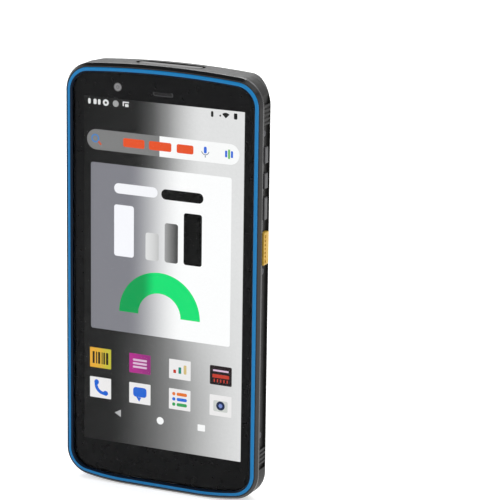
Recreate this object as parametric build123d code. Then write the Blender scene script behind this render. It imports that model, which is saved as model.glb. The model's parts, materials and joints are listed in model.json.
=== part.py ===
"""Portable barcode data terminal: a rugged handheld computer with a scan window in its top face.

It stands upright: +Z runs up along the device, the display faces -Y and +X is the device's right
hand side. The origin is the middle of the footprint. Depths are measured back from the crown of the
front ring, so a depth of zero is the front and a depth of body_thickness is the back.
"""
from build123d import *
import math
import os

# ---- overall body ----
body_width = 82.0
body_height = 167.0
body_thickness = 15.6
corner_radius = 10.5
top_bow_radius = 375.0
bottom_bow_radius = 100.0
foot_width = 30.0
bezel_depth = 0.5
rim_depth = 1.9
parting_depth = 2.9
shell_wall = 2.9
back_wall = 1.8

# ---- front bezel, ring and glass ----
bezel_side_inset = 0.6
bezel_end_inset = 1.0
ring_side_inset = 1.0
ring_end_inset = 1.4
ring_width = 2.1
ring_seat_depth = 1.6
ring_crown = 0.7
glass_gap = 0.1
glass_front_depth = 0.9
glass_thickness = 1.1
ledge_thickness = 0.9
display_side_border = 5.6
display_top_border = 12.5
display_bottom_border = 13.5
display_gap = 0.2
display_back_gap = 0.1

# ---- back: straight wall, bevel, flank and raised plateau ----
wall_end_depth = 8.7
bevel_rise = 1.3
bevel_side_inset = 0.9
bevel_end_inset = 0.1
plateau_side_inset = 3.0
plateau_top_inset = 0.4
plateau_bottom_inset = 1.3
plateau_corner_radius = 8.0
waist_inset = 10.8
waist_low_start = 15.0
waist_low_run = 32.0
waist_high_below_top = 13.0
waist_high_run = 36.0

# ---- sloped facets of the plateau ----
top_fold_below_top = 15.0
top_fold_angle = 5.0
bottom_fold_z = 12.7
bottom_fold_angle = 14.0
top_facet_inset = 7.0
top_facet_lean = 9.5
top_facet_angle = 21.0
bottom_facet_inset = 6.9
bottom_facet_angle = 32.0

# ---- blue inlay and label ----
inlay_edge_inset = 0.7
inlay_below_top = 2.5
inlay_width = 1.9
inlay_depth = 0.5
label_top_half = 16.3
label_bottom_half = 13.4
label_below_top = 11.1
label_line_width = 1.0
label_corner_radius = 3.0
label_depth = 0.3

# ---- side channels ----
channel_depth = 0.9
channel_lip = 0.5
channel_low_z = 14.0
channel_below_top = 7.0
rib_pitch = 1.7
rib_height = 0.8
rib_relief = 0.35
upper_rib_below_top = 18.7
upper_rib_count = 5
lower_rib_z = 16.05
lower_rib_count = 4

# ---- keys ----
key_margin = 0.55
plain_key_width = 2.7
key_rise = 0.45
key_edge_radius = 0.3
scan_key_rise = 0.6
key_travel = 0.4
key_slot_gap = 0.15
key_flange_lap = 0.6
key_flange_front_lap = 0.25
key_flange_thickness = 0.6
key_flange_gap = 0.05
key_nub_height = 0.4
key_nub_radius = 0.6
dome_gap = 0.05
dome_height = 0.4
dome_radius = 0.85
flex_thickness = 0.3
flex_overlap = 3.0
volume_up_below_top = 30.1
volume_up_length = 6.2
volume_down_below_top = 39.9
volume_down_length = 5.8
power_below_top = 50.5
power_length = 8.6
scan_key_below_top = 66.0
scan_key_length = 12.5
scan_groove_front = 0.5
scan_groove_width = 1.1
scan_groove_depth = 0.6
scan_groove_end = 0.8
scan_ridge_pitch = 1.5
scan_ridge_width = 0.7
scan_ridge_height = 0.5

# ---- card door ----
door_below_top = 38.9
door_length = 21.2
door_gap = 0.15
hinge_radius = 0.85
hinge_rise = 0.75
door_thickness = 0.8
knuckle_length = 2.2
pin_radius = 0.4
pin_gap = 0.05
pin_length = 3.2
hinge_boss_length = 1.6
hinge_boss_inset = 0.25
hinge_boss_lap = 0.1
card_slot_length = 16.4
card_slot_lead = 0.05
card_slot_height = 2.1
seal_gap = 0.15
seal_height = 0.8
notch_length = 8.0
notch_taper = 1.0
notch_bevel_lap = 0.6
notch_floor = 2.0

# ---- side screws ----
low_screw_z = 27.2
middle_screw_below_top = 75.1
high_screw_below_top = 22.2
screw_head_radius = 1.3
screw_head_height = 0.6
screw_shank_radius = 0.8
screw_length = 3.2
screw_gap = 0.03
lug_thickness = 1.5
lug_half_length = 1.7

# ---- lanyard eyelet ----
eyelet_front_wall = 0.7
eyelet_bore_radius = 1.25
eyelet_bar = 1.1
eyelet_wall = 1.0
eyelet_flush_gap = 0.1
eyelet_backing = 1.2

# ---- rear cameras, flash, microphone and plaque ----
camera_below_top = 33.5
camera_oval_length = 26.6
camera_oval_height = 12.0
camera_rim = 0.9
camera_recess = 0.45
camera_glass_thickness = 0.9
lens_pitch = 15.3
lens_ring_outer = 2.95
lens_ring_inner = 2.25
lens_ring_height = 0.3
lens_hole_radius = 2.6
module_size = 8.4
module_roof_gap = 1.5
barrel_radius = 2.4
flash_radius = 1.75
flash_gap = 0.1
microphone_x = -15.1
microphone_rise = 0.9
microphone_radius = 0.5
plaque_z = 27.4
plaque_length = 27.5
plaque_height = 9.2
plaque_depth = 0.3

# ---- scan window and engine ----
window_half = 14.2
window_front_wall = 2.1
window_size = 6.2
window_recess = 0.4
window_thickness = 1.2
window_corner = 3.0
window_seat_gap = 0.05
aperture_border = 1.6
engine_width = 21.0
engine_height = 12.6
engine_back_wall = 5.0
engine_gap = 0.4
engine_port_x = 4.5
engine_port_depth = 1.0
imager_radius = 2.0
illuminator_radius = 1.4

# ---- earpiece and front camera ----
earpiece_length = 8.3
earpiece_height = 1.6
mesh_thickness = 0.4
receiver_length = 12.0
receiver_height = 5.0
earpiece_drop = 1.0
front_camera_x = -19.2
front_camera_radius = 2.4
front_camera_thickness = 3.4
front_camera_wall = 0.3

# ---- inside ----
chassis_thickness = 1.0
chassis_gap = 0.1
key_wall_thickness = 1.0
board_thickness = 1.0
board_side_gap = 4.1
board_engine_gap = 1.5
main_board_below_top = 56.0
lower_board_half = 17.0
lower_board_low_z = 4.2
lower_board_high_z = 17.0
battery_side_gap = 0.6
battery_foot_gap = 2.0
battery_head_gap = 1.0
battery_roof_gap = 2.1
battery_edge_radius = 1.5
rim_room_extra = 0.5
bay_side_wall = 11.5
bay_foot_gap = 4.0
bay_below_top = 16.0
board_flex_width = 5.0
flex_battery_gap = 1.0
shield_height = 1.8
shield_corner_radius = 0.8
shield_edge_gap = 2.0
right_can_length = 34.0
left_can_width = 15.0
left_can_length = 14.5
can_reader_gap = 3.3
can_module_gap = 2.15
usb_width = 8.9
usb_height = 3.2
usb_length = 7.3
usb_wall = 0.35
usb_back_wall = 1.0
usb_recess = 0.4
usb_tongue_width = 6.6
usb_tongue_thickness = 0.7
usb_tongue_recess = 0.8
usb_opening_gap = 0.2
speaker_board_gap = 0.5
speaker_length = 13.0
speaker_height = 8.0
speaker_thickness = 3.6
speaker_slot_count = 5
speaker_slot_pitch = 1.9
speaker_slot_width = 0.9
speaker_slot_lead = 0.4
speaker_slot_depth = 3.0
speaker_foot_gap = 2.0
motor_board_gap = 3.5
motor_z = 10.2
motor_radius = 4.0
motor_thickness = 2.7
gasket_inner_wall = 0.2
gasket_width = 0.7
gasket_thickness = 0.3
reader_length = 15.4
reader_reach = 14.0
reader_height = 1.9
reader_wall = 0.3
tray_thickness = 0.8
tray_head_thickness = 0.8
tray_gap = 0.1

# ---- how far a cut runs past the surface that it opens ----
overshoot = 1.0

# ---- widths and depths that follow from the sizes above ----
half_width = body_width / 2
floor_x = half_width - channel_depth
inner_x = half_width - shell_wall
glass_back_depth = glass_front_depth + glass_thickness
chassis_front_depth = glass_back_depth + ledge_thickness
chassis_back_depth = chassis_front_depth + chassis_thickness
board_back_depth = chassis_back_depth + board_thickness
ceiling_depth = body_thickness - back_wall
bevel_end_depth = wall_end_depth + bevel_rise
plateau_wide_half = half_width - plateau_side_inset
plateau_waist_half = half_width - waist_inset
channel_end_depth = wall_end_depth - channel_lip
key_front_depth = parting_depth + key_margin
scan_key_width = channel_end_depth - parting_depth - 2 * key_margin
screw_depth = (parting_depth + channel_end_depth) / 2
hinge_depth = parting_depth + door_gap + hinge_radius
hinge_x = floor_x + hinge_rise - hinge_radius
card_slot_front = board_back_depth + card_slot_lead
card_slot_back = card_slot_front + card_slot_height
eyelet_front_depth = parting_depth + eyelet_front_wall
window_front_depth = parting_depth + window_front_wall
window_middle_depth = window_front_depth + window_size / 2
engine_back_depth = body_thickness - engine_back_wall
rim_room_depth = wall_end_depth + rim_room_extra
bay_half = inner_x - bay_side_wall
battery_half = bay_half - battery_side_gap
main_board_half = inner_x - board_side_gap
gasket_inset = shell_wall - gasket_inner_wall - gasket_width
speaker_x = lower_board_half + speaker_board_gap + speaker_length / 2
motor_x = -lower_board_half - motor_board_gap - motor_radius

# ---- heights that follow from the body's height ----
display_high_z = body_height - display_top_border
front_camera_z = display_high_z + display_gap + front_camera_wall + front_camera_radius
earpiece_z = front_camera_z - earpiece_drop
waist_low_end = waist_low_start + waist_low_run
waist_high_end = body_height - waist_high_below_top
waist_high_start = waist_high_end - waist_high_run
top_fold_z = body_height - top_fold_below_top
label_bottom_z = body_height - label_below_top
channel_high_z = body_height - channel_below_top
upper_rib_z = body_height - upper_rib_below_top
volume_up_z = body_height - volume_up_below_top
volume_down_z = body_height - volume_down_below_top
power_z = body_height - power_below_top
scan_key_z = body_height - scan_key_below_top
door_z = body_height - door_below_top
screw_zs = (low_screw_z, body_height - middle_screw_below_top, body_height - high_screw_below_top)
camera_z = body_height - camera_below_top
engine_high_z = body_height - shell_wall - engine_gap
engine_low_z = engine_high_z - engine_height
main_board_low_z = body_height - main_board_below_top
main_board_high_z = engine_low_z - board_engine_gap
battery_low_z = lower_board_high_z + battery_foot_gap
battery_high_z = main_board_low_z - battery_head_gap
bay_low_z = battery_low_z - bay_foot_gap
bay_high_z = body_height - bay_below_top
SCAN_KEY = (scan_key_z, scan_key_length, scan_key_width)
KEYS = ((volume_up_z, volume_up_length, plain_key_width),
        (volume_down_z, volume_down_length, plain_key_width),
        (power_z, power_length, plain_key_width), SCAN_KEY)


def y_at(depth):
    """The Y coordinate of a depth behind the ring's crown."""
    return depth - body_thickness / 2


def slab(profile, front, back):
    """A flat profile in X and Z, made solid between two depths."""
    return extrude(Plane.XZ.offset(-y_at(back)) * profile, amount=back - front)


def block(x_low, x_high, front, back, z_low, z_high):
    """A box from its limits in X, depth and Z."""
    centre = ((x_low + x_high) / 2, (y_at(front) + y_at(back)) / 2, (z_low + z_high) / 2)
    return Pos(*centre) * Box(x_high - x_low, back - front, z_high - z_low)


def rod(x, depth, z, radius, length, direction):
    """A cylinder that starts at a point and runs along a direction."""
    start = Plane(origin=(x, y_at(depth), z), z_dir=direction)
    return extrude(start * Circle(radius), amount=length)


def both_sides(shape):
    """The shape and its mirror image on the other side of the device."""
    return shape + mirror(shape, about=Plane.YZ)


def arc_about(centre, start, end):
    """The short arc between two points of a circle about the centre."""
    radius = math.dist(centre, start)
    bisector = (start[0] + end[0] - 2 * centre[0], start[1] + end[1] - 2 * centre[1])
    scale = radius / math.hypot(*bisector)
    middle = (centre[0] + bisector[0] * scale, centre[1] + bisector[1] * scale)
    return ThreePointArc(start, middle, end)


def corner(half, radius, bow_radius, bow_x, crown, up):
    """A corner's centre and its tangent points on the bowed end and on the straight side."""
    bow_z = crown - up * bow_radius
    centre_x = half - radius
    rise = math.sqrt((bow_radius - radius) ** 2 - (centre_x - bow_x) ** 2)
    centre = (centre_x, bow_z + up * rise)
    reach = bow_radius / (bow_radius - radius)
    on_bow = (bow_x + (centre_x - bow_x) * reach, bow_z + up * rise * reach)
    return centre, on_bow, (half, centre[1])


def side_edges(half, waist, low, high):
    """The right-hand side from low to high, drawn in to the waist between its stations."""
    middle = (half + waist) / 2
    low_middle = (waist_low_start + waist_low_end) / 2
    high_middle = (waist_high_start + waist_high_end) / 2
    stations = [(half, low), (half, waist_low_start), (middle, low_middle), (waist, waist_low_end),
                (waist, waist_high_start), (middle, high_middle), (half, waist_high_end), (half, high)]
    if waist == half:
        return [Line(stations[i], stations[i + 1]) for i in range(7)]
    return [
        Line(stations[0], stations[1]),
        TangentArc(stations[1], stations[2], tangent=(0, 1)),
        TangentArc(stations[3], stations[2], tangent=(0, -1)),
        Line(stations[3], stations[4]),
        TangentArc(stations[4], stations[5], tangent=(0, 1)),
        TangentArc(stations[6], stations[5], tangent=(0, -1)),
        Line(stations[6], stations[7]),
    ]


def outline(side_inset, end_inset):
    """The body's outline, drawn in by an inset at the sides and another at the ends."""
    radius = corner_radius - side_inset
    return bowed_outline(half_width - side_inset, end_inset, body_height - end_inset, radius)


def bowed_outline(half, bottom, top, radius, waist=None):
    """A tall outline with bowed ends, a flat foot and round corners, and a waist if one is given."""
    foot_half = foot_width / 2
    low_centre, low_bow, low_side = corner(half, radius, bottom_bow_radius, foot_half, bottom, -1)
    high_centre, high_bow, high_side = corner(half, radius, top_bow_radius, 0, top, 1)
    right = [arc_about((foot_half, bottom + bottom_bow_radius), (foot_half, bottom), low_bow),
             arc_about(low_centre, low_bow, low_side)]
    right += side_edges(half, waist or half, low_side[1], high_side[1])
    right += [arc_about(high_centre, high_side, high_bow)]
    left = [mirror(edge, about=Plane.YZ) for edge in right]
    foot = Line((-foot_half, bottom), (foot_half, bottom))
    crown = ThreePointArc(high_bow, (0, top), (-high_bow[0], high_bow[1]))
    return make_face([foot] + right + [crown] + left)


def hourglass(inset, top_inset):
    """The hourglass outline of the raised back, drawn in all round, its top set below the body's."""
    return bowed_outline(plateau_wide_half - inset, plateau_bottom_inset + inset, body_height - top_inset,
                         plateau_corner_radius - inset, plateau_waist_half - inset)


def inlay_outline(inset):
    """The outer edge of the blue line, drawn in by an inset all round."""
    return hourglass(inlay_edge_inset + inset, inlay_below_top + inset)


def obround(length, height):
    """A slot shape with full round ends, its length along X."""
    return SlotOverall(length, height)


def loft_between(sections):
    """A ruled solid through outlines, each given with its depth."""
    return loft([Plane.XZ.offset(-y_at(depth)) * profile for profile, depth in sections], ruled=True)


# ---- rear housing ----

def facet_plane(x, z, lean, angle, outwards):
    """A cutting plane that touches the plateau along a line and drops away outwards from it."""
    turn = math.radians(angle)
    away = Vector(outwards[0], 0, outwards[1]).rotate(Axis.Y, lean)
    normal = away * math.sin(turn) + Vector(0, 1, 0) * math.cos(turn)
    return Plane(origin=(x, y_at(body_thickness), z), z_dir=normal)


def facet_planes():
    """The folds near the ends of the plateau and the facets of its four wide corners."""
    planes = [facet_plane(0, top_fold_z, 0, top_fold_angle, (0, 1)),
              facet_plane(0, bottom_fold_z, 0, bottom_fold_angle, (0, -1))]
    for side in (-1, 1):
        planes.append(facet_plane(side * (plateau_wide_half - top_facet_inset), top_fold_z,
                                  -side * top_facet_lean, top_facet_angle, (side, 0)))
        planes.append(facet_plane(side * (plateau_wide_half - bottom_facet_inset), bottom_fold_z, 0,
                                  bottom_facet_angle, (side, 0)))
    return planes


def rear_blank():
    """The outside of the rear housing as one solid, before anything is cut into it."""
    sections = [(outline(0, 0), parting_depth),
                (outline(0, 0), wall_end_depth),
                (outline(bevel_side_inset, bevel_end_inset), bevel_end_depth),
                (hourglass(0, plateau_top_inset), body_thickness)]
    blank = loft_between(sections)
    for plane in facet_planes():
        blank = split(blank, bisect_by=plane, keep=Keep.BOTTOM)
    return blank


def skin(blank, profile, depth):
    """The part of the blank's back surface under a profile, to a depth below that surface."""
    column = slab(profile, bevel_end_depth, body_thickness + overshoot) & blank
    return column - Pos(0, -depth, 0) * blank


def label_shape(inset):
    """The label's field, a tongue that hangs from the top band."""
    top = body_height - inlay_below_top - inlay_width / 2
    low = label_bottom_z + inset
    field = Polygon((-label_top_half + inset, top), (-label_bottom_half + inset, low),
                    (label_bottom_half - inset, low), (label_top_half - inset, top), align=None)
    lower = field.vertices().sort_by(Axis.Y)[:2]
    return fillet(lower, label_corner_radius - inset)


def inlay_profile():
    """The hourglass band and the line round the label."""
    band = inlay_outline(0) - inlay_outline(inlay_width)
    return band + (label_shape(0) - label_shape(label_line_width))


def label_profile():
    """The label's field inside its line and below the band."""
    return label_shape(label_line_width) & inlay_outline(inlay_width)


def eyelet_reach():
    """How far the axis of the eyelet's bore lies from the centre of the left lower corner."""
    return corner_radius - eyelet_flush_gap - eyelet_bar - eyelet_bore_radius


def eyelet_point(reach):
    """The point of the corner's diagonal at a distance from the corner's centre."""
    centre, _, _ = corner(half_width, corner_radius, bottom_bow_radius, foot_width / 2, 0, -1)
    step = reach / math.sqrt(2)
    return -centre[0] - step, centre[1] - step


def corner_beyond(profile, inset):
    """What of a profile lies outside a line along the eyelet's bore, inset towards the middle."""
    size = 4 * corner_radius
    centre = eyelet_point(eyelet_reach() - inset + size / 2)
    return profile & (Pos(*centre) * Rot(0, 0, 45) * Rectangle(size, size))


def eyelet_inset():
    """How far the eyelet's flat inner face lies behind the axis of its bore."""
    return eyelet_bore_radius + eyelet_wall


def eyelet_body(gap):
    """The eyelet's corner piece, flush with the body or a gap inside it."""
    return slab(corner_beyond(outline(gap, gap), eyelet_inset()), eyelet_front_depth, channel_end_depth)


def housing_cavity():
    """The room inside the rear housing for the chassis, the battery and the scan engine."""
    room = outline(shell_wall, shell_wall)
    room = room - corner_beyond(room, eyelet_inset() + eyelet_backing)
    cavity = slab(room, parting_depth, rim_room_depth)
    cavity += block(-bay_half, bay_half, rim_room_depth, ceiling_depth, bay_low_z, bay_high_z)
    engine_half = engine_width / 2 + engine_gap
    cavity += block(-engine_half, engine_half, rim_room_depth, engine_back_depth + engine_gap,
                    bay_high_z - overshoot, body_height - shell_wall)
    return cavity


def channel():
    """One side's channel, on the right."""
    return block(floor_x, half_width + overshoot, parting_depth, channel_end_depth, channel_low_z,
                 channel_high_z)


def ribs():
    """The grip ribs across the ends of the right-hand channel, each row on its raised bed."""
    bars = []
    for low, count in ((upper_rib_z, upper_rib_count), (lower_rib_z, lower_rib_count)):
        bars.append(block(floor_x, half_width - rib_relief, parting_depth, channel_end_depth, low,
                          low + (count - 1) * rib_pitch + rib_height))
        for i in range(count):
            z = low + i * rib_pitch
            bars.append(block(floor_x, half_width, parting_depth, channel_end_depth, z, z + rib_height))
    return Compound(children=bars)


def key_slot(z, length, width):
    """The slot of one key through the right-hand wall."""
    return block(inner_x - overshoot, half_width + overshoot, key_front_depth - key_slot_gap,
                 key_front_depth + width + key_slot_gap, z - length / 2 - key_slot_gap,
                 z + length / 2 + key_slot_gap)


def screw_hole(z):
    """A counterbored hole for one side screw, on the right."""
    start = half_width + overshoot
    head = rod(start, screw_depth, z, screw_head_radius, overshoot + channel_depth + screw_head_height,
               (-1, 0, 0))
    shank = rod(start, screw_depth, z, screw_shank_radius, shell_wall + 2 * overshoot, (-1, 0, 0))
    return head + shank


def door_bosses():
    """The two blocks of the left-hand channel that hold the hinge pins."""
    reach = door_length / 2 + door_gap
    back = hinge_depth + hinge_radius + hinge_boss_lap
    blocks = [block(-half_width + hinge_boss_inset, -inner_x, parting_depth, back, z, z + hinge_boss_length)
              for z in (door_z - reach - hinge_boss_length, door_z + reach)]
    return Compound(children=blocks)


def door_pocket():
    """The room for the door's hinge, the card slot behind it and the nail notch at its back edge."""
    half = door_length / 2 + door_gap
    low = door_z - half
    high = door_z + half
    barrel_floor = hinge_x - hinge_radius - door_gap
    outside = -half_width - overshoot
    panel_floor = hinge_x + hinge_radius - door_thickness - door_gap
    pocket = block(outside, -barrel_floor, parting_depth, hinge_depth + hinge_radius + door_gap, low, high)
    pocket += block(outside, -panel_floor, parting_depth, channel_end_depth, low, high)
    pocket += block(outside, -inner_x + overshoot, card_slot_front, card_slot_back,
                    door_z - card_slot_length / 2, door_z + card_slot_length / 2)
    return pocket + nail_notch()


def nail_notch():
    """The tapered notch in the shell's lip behind the middle of the door."""
    front = y_at(card_slot_back)
    back = y_at(bevel_end_depth + notch_bevel_lap)
    half = notch_length / 2
    outline_points = [(front, door_z - half), (back, door_z - half + notch_taper),
                      (back, door_z + half - notch_taper), (front, door_z + half)]
    face = Plane.YZ.offset(-half_width - overshoot) * Polygon(*outline_points, align=None)
    return extrude(face, amount=overshoot + notch_floor)


def pin_holes():
    """The holes of the two hinge pins in their bosses."""
    return hinge_pin(1) + hinge_pin(-1)


def hinge_pin(up):
    """One hinge pin, from inside its boss into the door's knuckle."""
    boss_end = door_z + up * (door_length / 2 + door_gap + hinge_boss_length)
    return rod(-hinge_x, hinge_depth, boss_end, pin_radius, pin_length, (0, 0, -up))


def camera_cut():
    """The recess, the glass seat and the lens and flash holes of the rear cameras."""
    place = Pos(0, camera_z)
    recess_depth = body_thickness - camera_recess
    seat_depth = recess_depth - camera_glass_thickness
    outside = body_thickness + overshoot
    cut = slab(place * obround(camera_oval_length, camera_oval_height), recess_depth, outside)
    cut += slab(place * camera_glass_profile(), seat_depth, outside)
    inside = ceiling_depth - overshoot
    for x in (-lens_pitch / 2, lens_pitch / 2):
        cut += rod(x, inside, camera_z, lens_hole_radius, back_wall + overshoot, (0, 1, 0))
    cut += rod(0, inside, camera_z, flash_radius, back_wall + overshoot, (0, 1, 0))
    return cut


def camera_glass_profile():
    """The oval of the rear camera glass."""
    return obround(camera_oval_length - 2 * camera_rim, camera_oval_height - 2 * camera_rim)


def window_profile(inset):
    """The scan window's rounded oblong, seen from the top."""
    centre = y_at(window_middle_depth)
    return Pos(0, centre) * RectangleRounded(2 * (window_half - inset), window_size - 2 * inset,
                                             window_corner - inset)


def window_cut():
    """The seat of the scan window and the aperture under it."""
    seat_z = body_height - window_recess - window_thickness
    seat = extrude(Plane.XY.offset(seat_z) * window_profile(0),
                   amount=window_recess + window_thickness + overshoot)
    hole = extrude(Plane.XY.offset(body_height - shell_wall - overshoot) * window_profile(aperture_border),
                   amount=shell_wall + overshoot)
    return seat + hole


def usb_profile(gap):
    """The USB socket's outline, seen from below."""
    centre = y_at(board_back_depth + usb_height / 2)
    return Pos(0, centre) * SlotOverall(usb_width + 2 * gap, usb_height + 2 * gap)


def foot_openings():
    """The socket's opening and the loudspeaker's slots in the foot."""
    cut = extrude(Plane.XY.offset(-overshoot) * usb_profile(usb_opening_gap),
                  amount=shell_wall + 2 * overshoot)
    first = speaker_x - (speaker_slot_count - 1) * speaker_slot_pitch / 2
    front = board_back_depth - speaker_slot_lead
    for i in range(speaker_slot_count):
        x = first + i * speaker_slot_pitch
        cut += block(x - speaker_slot_width / 2, x + speaker_slot_width / 2, front,
                     front + speaker_slot_depth, -overshoot, shell_wall + overshoot)
    return cut


def gasket():
    """The seal between the two housings, in a groove of the rear one."""
    inner_inset = gasket_inset + gasket_width
    ring = outline(gasket_inset, gasket_inset) - outline(inner_inset, inner_inset)
    return slab(ring, parting_depth, parting_depth + gasket_thickness)


def plaque_cut():
    """The bare oval recess low on the back."""
    return slab(Pos(0, plaque_z) * obround(plaque_length, plaque_height), body_thickness - plaque_depth,
                body_thickness + overshoot)


def back_cover(blank):
    """The rear housing with its cavity, channels, pockets and holes."""
    cover = blank - housing_cavity() - both_sides(channel())
    cover += both_sides(ribs())
    cover += door_bosses()
    cover -= door_pocket()
    cover -= pin_holes()
    for z, length, width in KEYS:
        cover -= key_slot(z, length, width)
    cover -= mirror(key_slot(*SCAN_KEY), about=Plane.YZ)
    for z in screw_zs:
        cover -= both_sides(screw_hole(z))
    cover -= eyelet_body(-overshoot)
    cover -= camera_cut()
    cover -= rod(microphone_x, ceiling_depth - overshoot, camera_z + microphone_rise, microphone_radius,
                 back_wall + 2 * overshoot, (0, 1, 0))
    cover -= plaque_cut()
    cover -= window_cut()
    cover -= foot_openings()
    cover -= gasket()
    cover -= skin(blank, inlay_profile(), inlay_depth)
    cover -= skin(blank, label_profile(), label_depth)
    return cover


# ---- front housing, ring and glass ----

def ring_outer():
    """The outer edge of the raised ring."""
    return outline(ring_side_inset, ring_end_inset)


def ring_inner():
    """The inner edge of the raised ring."""
    return outline(ring_side_inset + ring_width, ring_end_inset + ring_width)


def front_ring():
    """The raised ring round the glass, with a bevelled crown."""
    ring = slab(ring_outer() - ring_inner(), 0, ring_seat_depth)
    front_edges = ring.edges().group_by(Axis.Y)[0]
    return chamfer(front_edges, ring_crown)


def front_camera_hole():
    """The camera's hole through the ledge under the glass."""
    return rod(front_camera_x, glass_back_depth - overshoot, front_camera_z, front_camera_radius,
               ledge_thickness + 2 * overshoot, (0, 1, 0))


def front_frame():
    """The front housing: a tapered rim, the ring's groove, the glass ledge and the display opening."""
    frame = loft_between([(outline(bezel_side_inset, bezel_end_inset), bezel_depth),
                          (outline(0, 0), rim_depth),
                          (outline(0, 0), parting_depth)])
    frame -= slab(ring_outer(), 0, ring_seat_depth)
    frame -= slab(ring_inner(), 0, glass_back_depth)
    past_back = parting_depth + overshoot
    frame -= display_block(display_gap, glass_back_depth - overshoot, past_back)
    frame -= slab(outline(shell_wall, shell_wall), chassis_front_depth, past_back)
    frame -= slab(Pos(0, earpiece_z) * obround(earpiece_length, earpiece_height), 0, past_back)
    frame -= front_camera_hole()
    return frame


def display_block(gap, front, back):
    """A box of the display's outline, grown by a gap."""
    half = half_width - display_side_border + gap
    return block(-half, half, front, back, display_bottom_border - gap, display_high_z + gap)


def cover_glass():
    """The glass inside the ring, with the slot of the earpiece."""
    inset = ring_width + glass_gap
    glass = slab(outline(ring_side_inset + inset, ring_end_inset + inset), glass_front_depth,
                 glass_back_depth)
    return glass - slab(Pos(0, earpiece_z) * obround(earpiece_length, earpiece_height), 0, glass_back_depth)


def earpiece_mesh():
    """The mesh at the bottom of the earpiece slot."""
    mesh = obround(earpiece_length, earpiece_height)
    return slab(Pos(0, earpiece_z) * mesh, glass_back_depth - mesh_thickness, glass_back_depth)


def earpiece_receiver():
    """The receiver behind the mesh, in a cut-out of the chassis."""
    neck = slab(Pos(0, earpiece_z) * obround(earpiece_length, earpiece_height), glass_back_depth,
                chassis_front_depth)
    body = block(-receiver_length / 2, receiver_length / 2, chassis_front_depth, chassis_back_depth,
                 earpiece_z - receiver_height / 2, earpiece_z + receiver_height / 2)
    return neck + body


def front_camera():
    """The front camera module behind the glass."""
    return rod(front_camera_x, glass_back_depth, front_camera_z, front_camera_radius,
               front_camera_thickness, (0, 1, 0))


# ---- chassis and what it carries ----

def mid_chassis():
    """The metal plate behind the display, with lugs for the side screws and walls for the key flexes."""
    plate = slab(outline(shell_wall + chassis_gap, shell_wall + chassis_gap), chassis_front_depth,
                 chassis_back_depth)
    plate -= block(-receiver_length / 2, receiver_length / 2, chassis_front_depth, chassis_back_depth,
                   earpiece_z - receiver_height / 2, earpiece_z + receiver_height / 2)
    plate -= rod(front_camera_x, chassis_front_depth, front_camera_z, front_camera_radius,
                 chassis_thickness, (0, 1, 0))
    plate -= corner_chassis_relief()
    for z, length, _ in KEYS:
        plate -= key_relief(z, length)
    plate -= mirror(key_relief(scan_key_z, scan_key_length), about=Plane.YZ)
    outer_x = inner_x - chassis_gap
    lugs = [block(outer_x - lug_thickness, outer_x, chassis_back_depth, channel_end_depth,
                  z - lug_half_length, z + lug_half_length) for z in screw_zs]
    plate += both_sides(Compound(children=lugs))
    plate += key_wall(1, scan_key_z - scan_key_length / 2, volume_up_z + volume_up_length / 2)
    plate += key_wall(-1, scan_key_z - scan_key_length / 2, scan_key_z + scan_key_length / 2)
    for z in screw_zs:
        plate -= both_sides(rod(half_width, screw_depth, z, screw_shank_radius,
                                shell_wall + lug_thickness + overshoot, (-1, 0, 0)))
    return plate


def corner_chassis_relief():
    """The chassis corner that gives way to the eyelet's backing."""
    room = outline(shell_wall, shell_wall)
    return slab(corner_beyond(room, eyelet_inset() + eyelet_backing + chassis_gap), parting_depth,
                chassis_back_depth)


def key_relief(z, length):
    """The notch in the chassis plate's right edge that clears a key's flange over its travel."""
    clearance = key_flange_lap + key_slot_gap
    return block(flange_inner_x() - key_travel - key_slot_gap, half_width, chassis_front_depth,
                 chassis_back_depth, z - length / 2 - clearance, z + length / 2 + clearance)


def key_wall(side, low, high):
    """The chassis wall that backs one side's key flex."""
    flex_x = flex_inner_x()
    return block(min(side * flex_x, side * (flex_x - key_wall_thickness)),
                 max(side * flex_x, side * (flex_x - key_wall_thickness)),
                 chassis_back_depth, channel_end_depth, low, high)


def flange_inner_x():
    """The inner face of a key's flange at rest."""
    return inner_x - key_flange_gap - key_flange_thickness


def dome_top_x():
    """The top of a dome switch, one travel and a gap below the key's nub."""
    return flange_inner_x() - key_nub_height - key_travel - dome_gap


def flex_inner_x():
    """The face of the chassis wall that carries a key flex."""
    return dome_top_x() - dome_height - flex_thickness


def key_flex(keys):
    """A key flex on the right, with a dome switch under each of its keys."""
    x = flex_inner_x()
    low = min(z - length / 2 for z, length, _ in keys)
    high = max(z + length / 2 for z, length, _ in keys)
    flex = block(x, x + flex_thickness, chassis_back_depth, key_front_depth + scan_key_width, low, high)
    for z, _, width in keys:
        flex += rod(x + flex_thickness, key_front_depth + width / 2, z, dome_radius, dome_height, (1, 0, 0))
    return flex


def key(place, rise):
    """One key on the right: a cap, a flange behind the wall and a nub over its dome switch."""
    z, length, width = place
    back = key_front_depth + width
    flange_outer = inner_x - key_flange_gap
    cap = block(flange_outer, half_width + rise, key_front_depth, back, z - length / 2, z + length / 2)
    cap = fillet(cap.edges().group_by(Axis.X)[-1], key_edge_radius)
    lap = key_flange_lap
    flange = block(flange_inner_x(), flange_outer, key_front_depth - key_flange_front_lap,
                   back + key_flange_front_lap, z - length / 2 - lap, z + length / 2 + lap)
    nub = rod(flange_inner_x(), key_front_depth + width / 2, z, key_nub_radius, key_nub_height, (-1, 0, 0))
    return cap + flange + nub


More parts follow.
